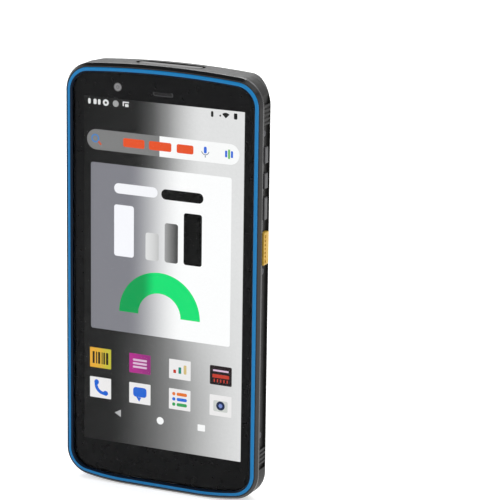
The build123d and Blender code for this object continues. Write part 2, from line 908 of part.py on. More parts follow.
def scan_key():
    """The scan key on the right: a groove along its front part, with a row of ridges in it."""
    plain = key(SCAN_KEY, scan_key_rise)
    top = half_width + scan_key_rise
    groove_length = scan_key_length - 2 * scan_groove_end
    front = key_front_depth + scan_groove_front
    back = front + scan_groove_width
    plain -= block(top - scan_groove_depth, top + overshoot, front, back, scan_key_z - groove_length / 2,
                   scan_key_z + groove_length / 2)
    floor = top - scan_groove_depth
    count = int((groove_length - scan_ridge_width) / scan_ridge_pitch)
    first = scan_key_z - (count - 1) * scan_ridge_pitch / 2
    for i in range(count):
        middle = first + i * scan_ridge_pitch
        plain += block(floor, floor + scan_ridge_height, front, back, middle - scan_ridge_width / 2,
                       middle + scan_ridge_width / 2)
    return plain


# ---- card door ----

def door_place(u, v):
    """A point of the door's section, from its offsets behind the hinge and outwards from it."""
    return -(hinge_x + v), y_at(hinge_depth + u)


def card_door():
    """The door: a panel, a rounded hinge edge and two bored knuckles."""
    reach = channel_end_depth - door_gap - hinge_depth
    inner = hinge_radius - door_thickness
    half = door_length / 2
    corners = [door_place(0, inner), door_place(reach, inner), door_place(reach, hinge_radius),
               door_place(0, hinge_radius)]
    x_axis, y_axis = door_place(0, 0)
    barrel = Pos(x_axis, y_axis) * Circle(hinge_radius)
    outer_half = Pos(x_axis - inner - hinge_radius, y_axis) * Rectangle(2 * hinge_radius, 4 * hinge_radius)
    section = Polygon(*corners, align=None) + (barrel & outer_half)
    panel = extrude(Plane.XY.offset(door_z - half) * section, amount=door_length)
    for low in (door_z - half, door_z + half - knuckle_length):
        panel += extrude(Plane.XY.offset(low) * barrel, amount=knuckle_length)
    bore = Pos(x_axis, y_axis) * Circle(pin_radius + pin_gap)
    for low in (door_z - half, door_z + half - knuckle_length):
        panel -= extrude(Plane.XY.offset(low) * bore, amount=knuckle_length)
    return panel


def door_seal():
    """The seal on the door's inner face, which plugs the card slot."""
    inner = hinge_radius - door_thickness
    front = card_slot_front + seal_gap - hinge_depth
    back = card_slot_back - 2 * seal_gap - hinge_depth
    x_inner, y_front = door_place(front, inner)
    _, y_back = door_place(back, inner)
    half = card_slot_length / 2 - seal_gap
    centre = (x_inner + seal_height / 2, (y_front + y_back) / 2, door_z)
    return Pos(*centre) * Box(seal_height, y_back - y_front, 2 * half)


def card_reader():
    """The reader's sheet metal box on the main board, open towards the door."""
    outer_x = -inner_x + tray_head_thickness
    front = board_back_depth
    half = reader_length / 2
    wall = reader_wall
    box = block(outer_x, outer_x + reader_reach, front, front + reader_height, door_z - half, door_z + half)
    room = block(outer_x - overshoot, outer_x + reader_reach - wall, front + wall,
                 front + reader_height - wall, door_z - half + wall, door_z + half - wall)
    return box - room


def card_tray():
    """The tray that carries the cards, pushed home in the reader."""
    outer_x = -inner_x
    head_back_x = outer_x + tray_head_thickness
    front = board_back_depth
    half = reader_length / 2
    head = block(outer_x, head_back_x, front + tray_gap, front + reader_height, door_z - half,
                 door_z + half)
    plate_front = front + reader_wall
    plate_half = half - reader_wall - tray_gap
    plate = block(head_back_x, head_back_x + reader_reach - reader_wall - tray_gap, plate_front,
                  plate_front + tray_thickness, door_z - plate_half, door_z + plate_half)
    return head + plate


# ---- small pieces seen from outside ----

def side_screw(z):
    """One side screw on the right."""
    head_x = floor_x - screw_head_height
    head = rod(floor_x, screw_depth, z, screw_head_radius - screw_gap, screw_head_height, (-1, 0, 0))
    return head + rod(head_x, screw_depth, z, screw_shank_radius - screw_gap, screw_length, (-1, 0, 0))


def side_screws():
    """The six screws that hold the rear housing to the chassis."""
    right = [side_screw(z) for z in screw_zs]
    left = [mirror(screw, about=Plane.YZ) for screw in right]
    return Compound(children=right + left)


def lanyard_eyelet():
    """The coloured corner piece with the hole for the wrist strap's loop."""
    x, z = eyelet_point(eyelet_reach())
    depth = (eyelet_front_depth + channel_end_depth) / 2
    bore = rod(x - corner_radius, depth, z + corner_radius, eyelet_bore_radius, 4 * corner_radius,
               (1, 0, -1))
    return eyelet_body(eyelet_flush_gap) - bore


def scan_window():
    """The window over the scan engine, sunk in the top face."""
    low = body_height - window_recess - window_thickness
    return extrude(Plane.XY.offset(low) * window_profile(window_seat_gap), amount=window_thickness)


def scan_engine():
    """The scan engine on the chassis, with its two optical ports below the window."""
    engine = block(-engine_width / 2, engine_width / 2, chassis_back_depth, engine_back_depth,
                   engine_low_z, engine_high_z)
    for x, radius in ((-engine_port_x, imager_radius), (engine_port_x, illuminator_radius)):
        engine -= rod(x, window_middle_depth, engine_high_z, radius, engine_port_depth, (0, 0, -1))
    return engine


def rear_camera_window():
    """The oval glass over the rear cameras."""
    front = body_thickness - camera_recess - camera_glass_thickness
    return slab(Pos(0, camera_z) * camera_glass_profile(), front, body_thickness - camera_recess)


def lens_ring(side):
    """One bright ring on the camera glass."""
    annulus = Circle(lens_ring_outer) - Circle(lens_ring_inner)
    front = body_thickness - camera_recess
    return slab(Pos(side * lens_pitch / 2, camera_z) * annulus, front, front + lens_ring_height)


def camera_module(side):
    """One rear camera on the main board, its barrel up to the glass."""
    x = side * lens_pitch / 2
    half = module_size / 2
    back = ceiling_depth - module_roof_gap
    body = block(x - half, x + half, board_back_depth, back, camera_z - half, camera_z + half)
    glass_depth = body_thickness - camera_recess - camera_glass_thickness
    return body + rod(x, back, camera_z, barrel_radius, glass_depth - back, (0, 1, 0))


def flash_led():
    """The flash between the two cameras, on its post from the board."""
    glass_depth = body_thickness - camera_recess - camera_glass_thickness
    return rod(0, board_back_depth, camera_z, flash_radius - flash_gap, glass_depth - board_back_depth,
               (0, 1, 0))


# ---- boards, battery and the rest of the inside ----

def display_panel():
    """The display bonded to the back of the glass."""
    return display_block(0, glass_back_depth, chassis_front_depth - display_back_gap)


def main_board():
    """The main board on the chassis, behind the upper part of the display."""
    return block(-main_board_half, main_board_half, chassis_back_depth, board_back_depth,
                 main_board_low_z, main_board_high_z)


def lower_board():
    """The lower board, which carries the USB socket."""
    return block(-lower_board_half, lower_board_half, chassis_back_depth, board_back_depth,
                 lower_board_low_z, lower_board_high_z)


def shield_can(x_low, x_high, length):
    """A shield can on the main board, up from the board's lower edge."""
    low = main_board_low_z + shield_edge_gap
    can = block(x_low, x_high, board_back_depth, board_back_depth + shield_height, low, low + length)
    return fillet(can.edges().filter_by(Axis.Y), shield_corner_radius)


def shield_can_right():
    """The long can between the right rear camera and the board's right edge."""
    x_low = lens_pitch / 2 + module_size / 2 + can_module_gap
    return shield_can(x_low, main_board_half - shield_edge_gap, right_can_length)


def shield_can_left():
    """The short can between the card reader and the battery flex, below the cameras."""
    x_low = can_reader_gap - inner_x + tray_head_thickness + reader_reach
    return shield_can(x_low, x_low + left_can_width, left_can_length)


def battery():
    """The battery pack on the chassis between the boards."""
    pack = block(-battery_half, battery_half, chassis_back_depth, ceiling_depth - battery_roof_gap,
                 battery_low_z, battery_high_z)
    return fillet(pack.edges().filter_by(Axis.Z), battery_edge_radius)


def board_flex():
    """The flex that joins the two boards, beside the battery."""
    x = battery_half + flex_battery_gap
    back = chassis_back_depth + flex_thickness
    flex = block(x, x + board_flex_width, chassis_back_depth, back, battery_low_z, main_board_low_z)
    low = block(lower_board_half, x + board_flex_width, chassis_back_depth, back,
                lower_board_high_z - flex_overlap, battery_low_z)
    return flex + low


def usb_socket():
    """The USB socket's shell with its tongue, on the lower board."""
    mouth = Plane.XY.offset(usb_recess)
    shell = extrude(mouth * usb_profile(0), amount=usb_length)
    room = extrude(mouth * usb_profile(-usb_wall), amount=usb_length - usb_back_wall)
    tongue_depth = board_back_depth + usb_height / 2
    tongue = block(-usb_tongue_width / 2, usb_tongue_width / 2, tongue_depth - usb_tongue_thickness / 2,
                   tongue_depth + usb_tongue_thickness / 2, usb_recess + usb_tongue_recess,
                   usb_recess + usb_length - usb_back_wall)
    return shell - room + tongue


def loudspeaker():
    """The loudspeaker behind its slots in the foot."""
    low = shell_wall + speaker_foot_gap
    return block(speaker_x - speaker_length / 2, speaker_x + speaker_length / 2, chassis_back_depth,
                 chassis_back_depth + speaker_thickness, low, low + speaker_height)


def vibration_motor():
    """The coin motor on the chassis."""
    return rod(motor_x, chassis_back_depth, motor_z, motor_radius, motor_thickness, (0, 1, 0))


def write_parts(parts):
    """Write each piece as a STEP file named after its node."""
    os.makedirs("parts", exist_ok=True)
    for name, shape in parts.items():
        export_step(shape, f"parts/{name}.step")


def build():
    """Every piece by its node's name."""
    blank = rear_blank()
    volume_up, volume_down, power, _ = KEYS
    scan = scan_key()
    return {
        "back_cover": back_cover(blank),
        "rear_inlay": skin(blank, inlay_profile(), inlay_depth),
        "label_plate": skin(blank, label_profile(), label_depth),
        "front_frame": front_frame(),
        "front_ring": front_ring(),
        "cover_glass": cover_glass(),
        "display_panel": display_panel(),
        "housing_gasket": gasket(),
        "mid_chassis": mid_chassis(),
        "main_board": main_board(),
        "lower_board": lower_board(),
        "shield_can_right": shield_can_right(),
        "shield_can_left": shield_can_left(),
        "battery_pack": battery(),
        "board_flex": board_flex(),
        "scan_window": scan_window(),
        "scan_engine": scan_engine(),
        "rear_camera_window": rear_camera_window(),
        "lens_ring_right": lens_ring(1),
        "lens_ring_left": lens_ring(-1),
        "camera_module_right": camera_module(1),
        "camera_module_left": camera_module(-1),
        "flash_led": flash_led(),
        "front_camera": front_camera(),
        "earpiece_mesh": earpiece_mesh(),
        "earpiece_receiver": earpiece_receiver(),
        "side_screws": side_screws(),
        "lanyard_eyelet": lanyard_eyelet(),
        "usb_socket": usb_socket(),
        "loudspeaker": loudspeaker(),
        "vibration_motor": vibration_motor(),
        "card_reader": card_reader(),
        "card_tray": card_tray(),
        "upper_hinge_pin": hinge_pin(1),
        "lower_hinge_pin": hinge_pin(-1),
        "card_door": card_door(),
        "door_seal": door_seal(),
        "key_flex_right": key_flex(KEYS),
        "key_flex_left": mirror(key_flex((SCAN_KEY,)), about=Plane.YZ),
        "volume_up_key": key(volume_up, key_rise),
        "volume_down_key": key(volume_down, key_rise),
        "power_key": key(power, key_rise),
        "scan_key_right": scan,
        "scan_key_left": mirror(scan, about=Plane.YZ),
    }


write_parts(build())
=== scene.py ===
import json
import math

import bpy
from mathutils import Matrix, Vector


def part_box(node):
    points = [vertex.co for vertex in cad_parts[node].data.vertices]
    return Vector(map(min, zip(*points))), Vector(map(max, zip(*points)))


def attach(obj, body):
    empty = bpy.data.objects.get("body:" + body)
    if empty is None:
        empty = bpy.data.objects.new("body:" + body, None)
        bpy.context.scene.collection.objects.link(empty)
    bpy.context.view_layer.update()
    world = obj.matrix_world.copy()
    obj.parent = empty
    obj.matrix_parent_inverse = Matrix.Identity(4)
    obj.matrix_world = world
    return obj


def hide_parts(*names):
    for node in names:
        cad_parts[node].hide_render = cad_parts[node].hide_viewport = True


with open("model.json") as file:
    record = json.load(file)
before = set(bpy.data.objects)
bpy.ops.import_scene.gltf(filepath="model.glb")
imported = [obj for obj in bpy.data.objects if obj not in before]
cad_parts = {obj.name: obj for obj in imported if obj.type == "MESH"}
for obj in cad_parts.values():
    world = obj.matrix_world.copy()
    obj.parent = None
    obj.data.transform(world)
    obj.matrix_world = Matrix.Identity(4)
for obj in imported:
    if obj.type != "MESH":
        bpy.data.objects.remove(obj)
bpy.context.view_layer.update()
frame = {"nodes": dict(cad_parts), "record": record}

MM = 0.001
NODES = frame["nodes"]

# ---- sizes shared with the solids, in millimetres ----
BODY_WIDTH = 82.0
BODY_HEIGHT = 167.0
BODY_THICKNESS = 15.6
CORNER_RADIUS = 10.5
TOP_BOW_RADIUS = 375.0
BOTTOM_BOW_RADIUS = 100.0
FOOT_HALF = 15.0
GLASS_BACK = 2.0
DISPLAY_BACK = 2.8
RING_SIDE_INSET = 1.0
RING_END_INSET = 1.4
RING_WIDTH = 2.1
RING_SEAT = 1.6
EARPIECE_Z = 156.4
FRONT_CAMERA_X = -19.2
FRONT_CAMERA_Z = 157.4
REAR_GLASS = 15.15
CAMERA_Z = 133.5
LENS_X = 7.65
SCREW_DEPTH = 5.55
SCREW_ZS = (27.2, 91.9, 144.8)
CHANNEL_FLOOR = 40.1

# ---- the lit area, and the picture's middle and layers on it, in millimetres ----
LIT_X = 0.0
LIT_Z = 84.7
LIT_HALF_WIDTH = 33.6
LIT_HALF_HEIGHT = 68.2
PICTURE_X = -0.3
PICTURE_Z = 85.0
PANEL_LAYER = GLASS_BACK + 0.06
FACE_LAYER = GLASS_BACK + 0.045
MARK_LAYER = GLASS_BACK + 0.03
LENS_LAYER = GLASS_BACK + 0.018
GLINT_LAYER = GLASS_BACK + 0.008
LAYER_THICKNESS = 0.006

# ---- looks ----
SURROUND_LIGHT = 0.55
GLASS_GLOSS = 0.1
CORNER_STEPS = 10
SOCKET_LOBES = 6
LOBE_SHARE = 0.13


# ---- camera, floor and light ----

def make_camera():
    """The main camera: a long lens, above and to the right of the display."""
    data = bpy.data.cameras.new("camera")
    data.sensor_width = 36.0
    data.lens = 201.6
    data.clip_start = 0.05
    data.clip_end = 20.0
    cam = bpy.data.objects.new("camera", data)
    bpy.context.scene.collection.objects.link(cam)
    place = (0.4544, -0.9291, 0.3651)
    right = (0.909488, 0.415522, 0.013131)
    up = (-0.116505, 0.224431, 0.967501)
    back = (0.399071, -0.881460, 0.252528)
    turn = Matrix((right, up, back)).transposed().to_4x4()
    cam.matrix_world = Matrix.Translation(place) @ turn
    bpy.context.scene.camera = cam


def seen_directly(tree):
    """One for camera, glossy and transmission rays and zero for the rest, as a socket."""
    path = tree.nodes.new("ShaderNodeLightPath")
    either = math_node(tree, "MAXIMUM", path.outputs["Is Camera Ray"], path.outputs["Is Glossy Ray"])
    return math_node(tree, "MAXIMUM", either, path.outputs["Is Transmission Ray"])


def pale_shader(tree, lit, strength):
    """An emission that only camera, glossy and transmission rays see, added to a lit shader."""
    glow = tree.nodes.new("ShaderNodeEmission")
    level = math_node(tree, "MULTIPLY", seen_directly(tree), strength)
    tree.links.new(level, glow.inputs["Strength"])
    total = tree.nodes.new("ShaderNodeAddShader")
    tree.links.new(lit, total.inputs[0])
    tree.links.new(glow.outputs[0], total.inputs[1])
    return total.outputs[0]


def make_floor():
    """A plain pale floor that runs out to the white surround."""
    floor_radius = 6.0
    rings = 24
    segments = 64
    verts = [(0.0, 0.0, 0.0)]
    for i in range(1, rings + 1):
        radius = floor_radius * (i / rings) ** 2
        verts += [(radius * math.cos(2 * math.pi * k / segments),
                   radius * math.sin(2 * math.pi * k / segments), 0.0) for k in range(segments)]
    faces = [(0, 1 + k, 1 + (k + 1) % segments) for k in range(segments)]
    for i in range(rings - 1):
        for k in range(segments):
            a = 1 + i * segments + k
            b = 1 + i * segments + (k + 1) % segments
            faces.append((a, a + segments, b + segments, b))
    mesh = bpy.data.meshes.new("floor")
    mesh.from_pydata(verts, [], faces)
    floor = bpy.data.objects.new("floor", mesh)
    bpy.context.scene.collection.objects.link(floor)
    mat, tree, bsdf = new_material("floor_paint")
    speckle(tree, bsdf, (0.86, 0.86, 0.86), 0.01, 40.0)
    bsdf.inputs["Roughness"].default_value = 0.9
    bsdf.inputs["Specular IOR Level"].default_value = 0.1
    out = tree.nodes["Material Output"]
    floor_glow = 0.55
    tree.links.new(pale_shader(tree, bsdf.outputs[0], floor_glow), out.inputs["Surface"])
    mesh.materials.append(mat)


def make_world():
    """A white surround, full white where it is seen or reflected, with a dim ceiling in reflections."""
    world = bpy.data.worlds.new("surround")
    bpy.context.scene.world = world
    world.use_nodes = True
    tree = world.node_tree
    background = tree.nodes["Background"]
    background.inputs["Color"].default_value = (1.0, 1.0, 1.0, 1.0)
    level = value_range(tree, seen_directly(tree), SURROUND_LIGHT, 1.0)
    axes = tree.nodes.new("ShaderNodeSeparateXYZ")
    tree.links.new(tree.nodes.new("ShaderNodeTexCoord").outputs["Generated"], axes.inputs[0])
    overhead = smooth_step(tree, axes.outputs[2], 0.4, 0.8, 0.0, 0.9)
    path = tree.nodes.new("ShaderNodeLightPath")
    loss = math_node(tree, "MULTIPLY", overhead, path.outputs["Is Glossy Ray"])
    strength = math_node(tree, "SUBTRACT", level, loss)
    tree.links.new(strength, background.inputs["Strength"])


def area_light(name, place, aim, size, energy):
    """A soft oblong lamp turned towards a point."""
    data = bpy.data.lights.new(name, "AREA")
    data.shape = "RECTANGLE"
    data.size = size[0]
    data.size_y = size[1]
    data.energy = energy
    lamp = bpy.data.objects.new(name, data)
    bpy.context.scene.collection.objects.link(lamp)
    back = Vector(place) - Vector(aim)
    lamp.rotation_euler = back.to_track_quat("Z", "Y").to_euler()
    lamp.location = place


def make_lights():
    """A broad lamp overhead, one at each side and two behind."""
    middle = (0.0, 0.0, 0.08)
    top = (0.0, 0.0, 0.16)
    area_light("lamp_above", (0.45, 0.0, 1.1), middle, (0.8, 0.9), 3.2)
    area_light("lamp_left", (-0.9, -0.8, 0.7), middle, (0.6, 0.8), 3.5)
    area_light("lamp_right", (1.1, -0.15, 0.14), middle, (0.4, 0.24), 2.0)
    area_light("lamp_back", (0.3, 1.0, 0.95), middle, (0.8, 0.6), 2.5)
    area_light("lamp_high_back", (-0.5, 1.1, 0.95), top, (0.6, 0.4), 6.5)


# ---- materials ----

def srgb(red, green, blue):
    """A display colour from 0 to 255, as linear light."""
    def one(value):
        share = value / 255.0
        return share / 12.92 if share <= 0.04045 else ((share + 0.055) / 1.055) ** 2.4
    return one(red), one(green), one(blue)


def new_material(name):
    """A material with its node tree and its Principled shader."""
    mat = bpy.data.materials.new(name)
    mat.use_nodes = True
    return mat, mat.node_tree, mat.node_tree.nodes["Principled BSDF"]


def place_coords(tree):
    """The device's own coordinates in metres."""
    return tree.nodes.new("ShaderNodeTexCoord").outputs["Object"]


def place_axes(tree):
    """The device's own X, Y and Z in metres, as three sockets."""
    axes = tree.nodes.new("ShaderNodeSeparateXYZ")
    tree.links.new(place_coords(tree), axes.inputs[0])
    return axes.outputs


def noise(tree, scale, detail=3.0, roughness=0.5):
    """Noise with features of about one metre over the scale."""
    node = tree.nodes.new("ShaderNodeTexNoise")
    node.inputs["Scale"].default_value = scale
    node.inputs["Detail"].default_value = detail
    node.inputs["Roughness"].default_value = roughness
    tree.links.new(place_coords(tree), node.inputs["Vector"])
    return node.outputs["Fac"]


def math_node(tree, operation, first, second=None):
    """One sum of two sockets or numbers."""
    node = tree.nodes.new("ShaderNodeMath")
    node.operation = operation
    for socket, value in ((node.inputs[0], first), (node.inputs[1], second)):
        if value is None:
            continue
        if isinstance(value, (int, float)):
            socket.default_value = value
        else:
            tree.links.new(value, socket)
    return node.outputs[0]


def value_range(tree, value, low, high):
    """A value from 0 to 1, spread evenly over a range."""
    node = tree.nodes.new("ShaderNodeMapRange")
    node.inputs["To Min"].default_value = low
    node.inputs["To Max"].default_value = high
    tree.links.new(value, node.inputs["Value"])
    return node.outputs["Result"]


def smooth_step(tree, value, low, high, to_low=0.0, to_high=1.0):
    """A smooth rise of a value from one level to another."""
    node = tree.nodes.new("ShaderNodeMapRange")
    node.interpolation_type = "SMOOTHSTEP"
    tree.links.new(value, node.inputs["Value"])
    node.inputs["From Min"].default_value = low
    node.inputs["From Max"].default_value = high
    node.inputs["To Min"].default_value = to_low
    node.inputs["To Max"].default_value = to_high
    return node.outputs["Result"]


def mix_colours(tree, factor, first, second):
    """A mix of two colours, each a socket or three numbers."""
    node = tree.nodes.new("ShaderNodeMix")
    node.data_type = "RGBA"
    tree.links.new(factor, node.inputs[0])
    for socket, value in ((node.inputs[6], first), (node.inputs[7], second)):
        if isinstance(value, tuple):
            socket.default_value = (*value, 1.0)
        else:
            tree.links.new(value, socket)
    return node.outputs[2]


def scale_colour(tree, colour, factor):
    """A colour times a number, both sockets."""
    node = tree.nodes.new("ShaderNodeVectorMath")
    node.operation = "SCALE"
    tree.links.new(colour, node.inputs[0])
    tree.links.new(factor, node.inputs["Scale"])
    return node.outputs[0]


def speckle(tree, bsdf, colour, variation, scale):
    """The base colour with a fine, even variation."""
    low = tuple(c * (1 - variation) for c in colour)
    high = tuple(min(c * (1 + variation), 1.0) for c in colour)
    mixed = mix_colours(tree, noise(tree, scale), low, high)
    tree.links.new(mixed, bsdf.inputs["Base Color"])
    return mixed


def bump(tree, bsdf, height, strength, distance_mm, after=None):
    """A bump from a height socket, on top of an earlier one if given."""
    node = tree.nodes.new("ShaderNodeBump")
    node.inputs["Strength"].default_value = strength
    node.inputs["Distance"].default_value = distance_mm * MM
    tree.links.new(height, node.inputs["Height"])
    if after is not None:
        tree.links.new(after, node.inputs["Normal"])
    tree.links.new(node.outputs["Normal"], bsdf.inputs["Normal"])
    return node.outputs["Normal"]


def edge_normal(tree, bsdf, radius_mm):
    """A normal that rounds sharp edges."""
    node = tree.nodes.new("ShaderNodeBevel")
    node.samples = 6
    node.inputs["Radius"].default_value = radius_mm * MM
    tree.links.new(node.outputs["Normal"], bsdf.inputs["Normal"])
    return node.outputs["Normal"]


def rough_range(tree, bsdf, low, high, scale):
    """A roughness that varies between two values."""
    tree.links.new(value_range(tree, noise(tree, scale), low, high), bsdf.inputs["Roughness"])


def plastic(name, colour, low, high, grain=2600.0, relief=0.02, sheen=0.5):
    """A moulded plastic with a fine grain, soft edges and an uneven polish."""
    mat, tree, bsdf = new_material(name)
    bsdf.inputs["Specular IOR Level"].default_value = sheen
    speckle(tree, bsdf, colour, 0.12, grain)
    rough_range(tree, bsdf, low, high, grain * 0.4)
    soft = edge_normal(tree, bsdf, 0.12)
    bump(tree, bsdf, noise(tree, grain), 0.6, relief, soft)
    return mat


def metal(name, colour, low, high, grain=1800.0):
    """A metal with a fine uneven polish."""
    mat, tree, bsdf = new_material(name)
    bsdf.inputs["Metallic"].default_value = 1.0
    speckle(tree, bsdf, colour, 0.08, grain)
    rough_range(tree, bsdf, low, high, grain)
    soft = edge_normal(tree, bsdf, 0.08)
    bump(tree, bsdf, noise(tree, grain), 0.3, 0.01, soft)
    return mat


def waist_half(tree, height):
    """The half width of the raised back at a height, as a socket in metres."""
    widest_half = 38.0 * MM
    draw = 7.8 * MM
    narrowing = smooth_step(tree, height, 15.0 * MM, 47.0 * MM, 0.0, draw)
    widening = smooth_step(tree, height, 118.0 * MM, 154.0 * MM, 0.0, draw)
    drawn_in = math_node(tree, "SUBTRACT", narrowing, widening)
    return math_node(tree, "SUBTRACT", widest_half, drawn_in)


def housing_material():
    """The rear housing: grained plastic, a mottled back, and grip texture on its two flanks."""
    mat, tree, bsdf = new_material("housing_plastic")
    across, depth, height = place_axes(tree)
    fine = noise(tree, 2400.0)
    mottle = noise(tree, 220.0, 5.0, 0.65)
    dark = mix_colours(tree, fine, (0.005, 0.0049, 0.0046), (0.011, 0.0107, 0.01))
    worn = smooth_step(tree, mottle, 0.4, 0.7)
    tree.links.new(mix_colours(tree, worn, dark, (0.013, 0.0126, 0.0118)), bsdf.inputs["Base Color"])
    bsdf.inputs["Specular IOR Level"].default_value = 0.22
    rough_range(tree, bsdf, 0.4, 0.6, 700.0)
    soft = edge_normal(tree, bsdf, 0.25)
    grain = bump(tree, bsdf, fine, 0.5, 0.03, soft)
    hammer = bump(tree, bsdf, mottle, 0.5, 0.12, grain)
    half_place = math_node(tree, "ABSOLUTE", across)
    past_waist = math_node(tree, "SUBTRACT", half_place, waist_half(tree, height))
    flank = math_node(tree, "MULTIPLY", smooth_step(tree, past_waist, 0.0006, 0.0010),
                      smooth_step(tree, depth, 0.0026, 0.0030))
    flank = math_node(tree, "MULTIPLY", flank, smooth_step(tree, height, 0.020, 0.026))
    flank = math_node(tree, "MULTIPLY", flank, smooth_step(tree, height, 0.150, 0.144))
    grip_pitch = 1.0 * MM
    turn = 2 * math.pi / grip_pitch
    rows = math_node(tree, "SINE", math_node(tree, "MULTIPLY", height, turn))
    columns = math_node(tree, "SINE", math_node(tree, "MULTIPLY", across, turn))
    dots = math_node(tree, "MULTIPLY", rows, columns)
    right = smooth_step(tree, across, -0.001, 0.001)
    left = math_node(tree, "SUBTRACT", 1.0, right)
    grip = math_node(tree, "ADD", math_node(tree, "MULTIPLY", rows, right),
                     math_node(tree, "MULTIPLY", dots, left))
    bump(tree, bsdf, math_node(tree, "MULTIPLY", grip, flank), 0.7, 0.18, hammer)
    return mat


def blue_material(name, colour, sheen=0.3):
    """The satin blue plastic of the ring and the rear line."""
    mat, tree, bsdf = new_material(name)
    speckle(tree, bsdf, colour, 0.06, 900.0)
    rough_range(tree, bsdf, 0.3, 0.42, 600.0)
    bsdf.inputs["Specular IOR Level"].default_value = sheen
    soft = edge_normal(tree, bsdf, 0.1)
    bump(tree, bsdf, noise(tree, 1500.0), 0.3, 0.01, soft)
    return mat


def clear_glass():
    """The clear cover glass. Its gloss is given to the print and the display just under it."""
    mat, tree, bsdf = new_material("clear_glass")
    bsdf.inputs["Transmission Weight"].default_value = 1.0
    bsdf.inputs["IOR"].default_value = 1.02
    bsdf.inputs["Roughness"].default_value = 0.0
    speckle(tree, bsdf, (0.97, 0.98, 0.98), 0.01, 60.0)
    return mat


def dark_glass(name, colour, coat=0.6, sheen=0.5):
    """A dark polished window."""
    mat, tree, bsdf = new_material(name)
    speckle(tree, bsdf, colour, 0.15, 300.0)
    rough_range(tree, bsdf, 0.04, 0.09, 120.0)
    bsdf.inputs["Specular IOR Level"].default_value = sheen
    bsdf.inputs["Coat Weight"].default_value = coat
    bsdf.inputs["Coat Roughness"].default_value = 0.03
    return mat


def screen_material(name):
    """A glossy black that shows lit colours, as the glass in front of them does."""
    mat, tree, bsdf = new_material(name)
    bsdf.inputs["Base Color"].default_value = (0.002, 0.002, 0.002, 1.0)
    bsdf.inputs["Roughness"].default_value = 0.04
    bsdf.inputs["Specular IOR Level"].default_value = GLASS_GLOSS
    bsdf.inputs["Emission Strength"].default_value = 1.0
    return mat, tree, bsdf


def lit_material(name, colour, end_colour=None, low=0.0, high=1.0):
    """A lit part of the picture: one colour, or a soft change between two places across it."""
    mat, tree, bsdf = screen_material(name)
    change = smooth_step(tree, place_axes(tree)[0], low * MM, high * MM)
    plain = mix_colours(tree, change, colour, end_colour or colour)
    shimmer = value_range(tree, noise(tree, 1200.0), 0.97, 1.03)
    tree.links.new(scale_colour(tree, plain, shimmer), bsdf.inputs["Emission Color"])
    return mat


def wallpaper_material():
    """The picture's ground: dark at the left, through grey, to near white at the right."""
    mat, tree, bsdf = screen_material("wallpaper")
    across, _, height = place_axes(tree)
    top_mid = smooth_step(tree, across, -0.0135, 0.017)
    low_mid = smooth_step(tree, across, -0.024, 0.040)
    blend = smooth_step(tree, height, 0.030, 0.110)
    mixed = tree.nodes.new("ShaderNodeMix")
    tree.links.new(blend, mixed.inputs[0])
    tree.links.new(low_mid, mixed.inputs[2])
    tree.links.new(top_mid, mixed.inputs[3])
    ramp = tree.nodes.new("ShaderNodeValToRGB")
    ramp.color_ramp.elements[0].color = (*srgb(38, 38, 38), 1.0)
    ramp.color_ramp.elements[1].color = (*srgb(227, 227, 227), 1.0)
    middle = ramp.color_ramp.elements.new(0.5)
    middle.color = (*srgb(142, 142, 142), 1.0)
    tree.links.new(mixed.outputs[0], ramp.inputs[0])
    corner = math_node(tree, "MULTIPLY", smooth_step(tree, across, -0.033, -0.012, 0.6, 1.0),
                       smooth_step(tree, height, 0.04, 0.12, 1.0, 0.7))
    corner = math_node(tree, "MAXIMUM", corner, smooth_step(tree, across, -0.016, 0.002))
    grain = smooth_step(tree, noise(tree, 900.0), 0.0, 1.0, 0.97, 1.03)
    shade = math_node(tree, "MULTIPLY", corner, grain)
    tree.links.new(scale_colour(tree, ramp.outputs[0], shade), bsdf.inputs["Emission Color"])
    return mat


# ---- mesh helpers ----

def y_at(depth):
    """The Y coordinate of a depth behind the ring's crown, in millimetres."""
    return depth - BODY_THICKNESS / 2


def make_object(name, verts, faces, mats, face_mats=None, smooth=True):
    """A mesh object from points in millimetres."""
    mesh = bpy.data.meshes.new(name)
    mesh.from_pydata([(x * MM, y * MM, z * MM) for x, y, z in verts], [], faces)
    for mat in mats:
        mesh.materials.append(mat)
    if face_mats:
        for polygon, index in zip(mesh.polygons, face_mats):
            polygon.material_index = index
    for polygon in mesh.polygons:
        polygon.use_smooth = smooth
    mesh.update()
    piece = bpy.data.objects.new(name, mesh)
    bpy.context.scene.collection.objects.link(piece)
    return piece


def corner_points(half, radius, bow_radius, bow_x, crown, up):
    """The bowed end from its middle and the round corner up to the side, on the right."""
    bow_z = crown - up * bow_radius
    centre_x = half - radius
    rise = math.sqrt((bow_radius - radius) ** 2 - (centre_x - bow_x) ** 2)
    centre_z = bow_z + up * rise
    lean = math.atan2(centre_x - bow_x, rise)
    points = []
    for i in range(CORNER_STEPS + 1):
        angle = lean * i / CORNER_STEPS
        points.append((bow_x + bow_radius * math.sin(angle), bow_z + up * bow_radius * math.cos(angle)))
    for i in range(1, 2 * CORNER_STEPS + 1):
        angle = lean + (math.pi / 2 - lean) * i / (2 * CORNER_STEPS)
        points.append((centre_x + radius * math.sin(angle), centre_z + up * radius * math.cos(angle)))
    return points


def outline_points(side_inset, end_inset):
    """The body's outline drawn in by two insets, as a closed run of points."""
    half = BODY_WIDTH / 2 - side_inset
    radius = CORNER_RADIUS - side_inset
    low = corner_points(half, radius, BOTTOM_BOW_RADIUS, FOOT_HALF, end_inset, -1)
    high = corner_points(half, radius, TOP_BOW_RADIUS, 0.0, BODY_HEIGHT - end_inset, 1)
    right = low + high[::-1]
    return right + [(-x, z) for x, z in right[-2::-1]]


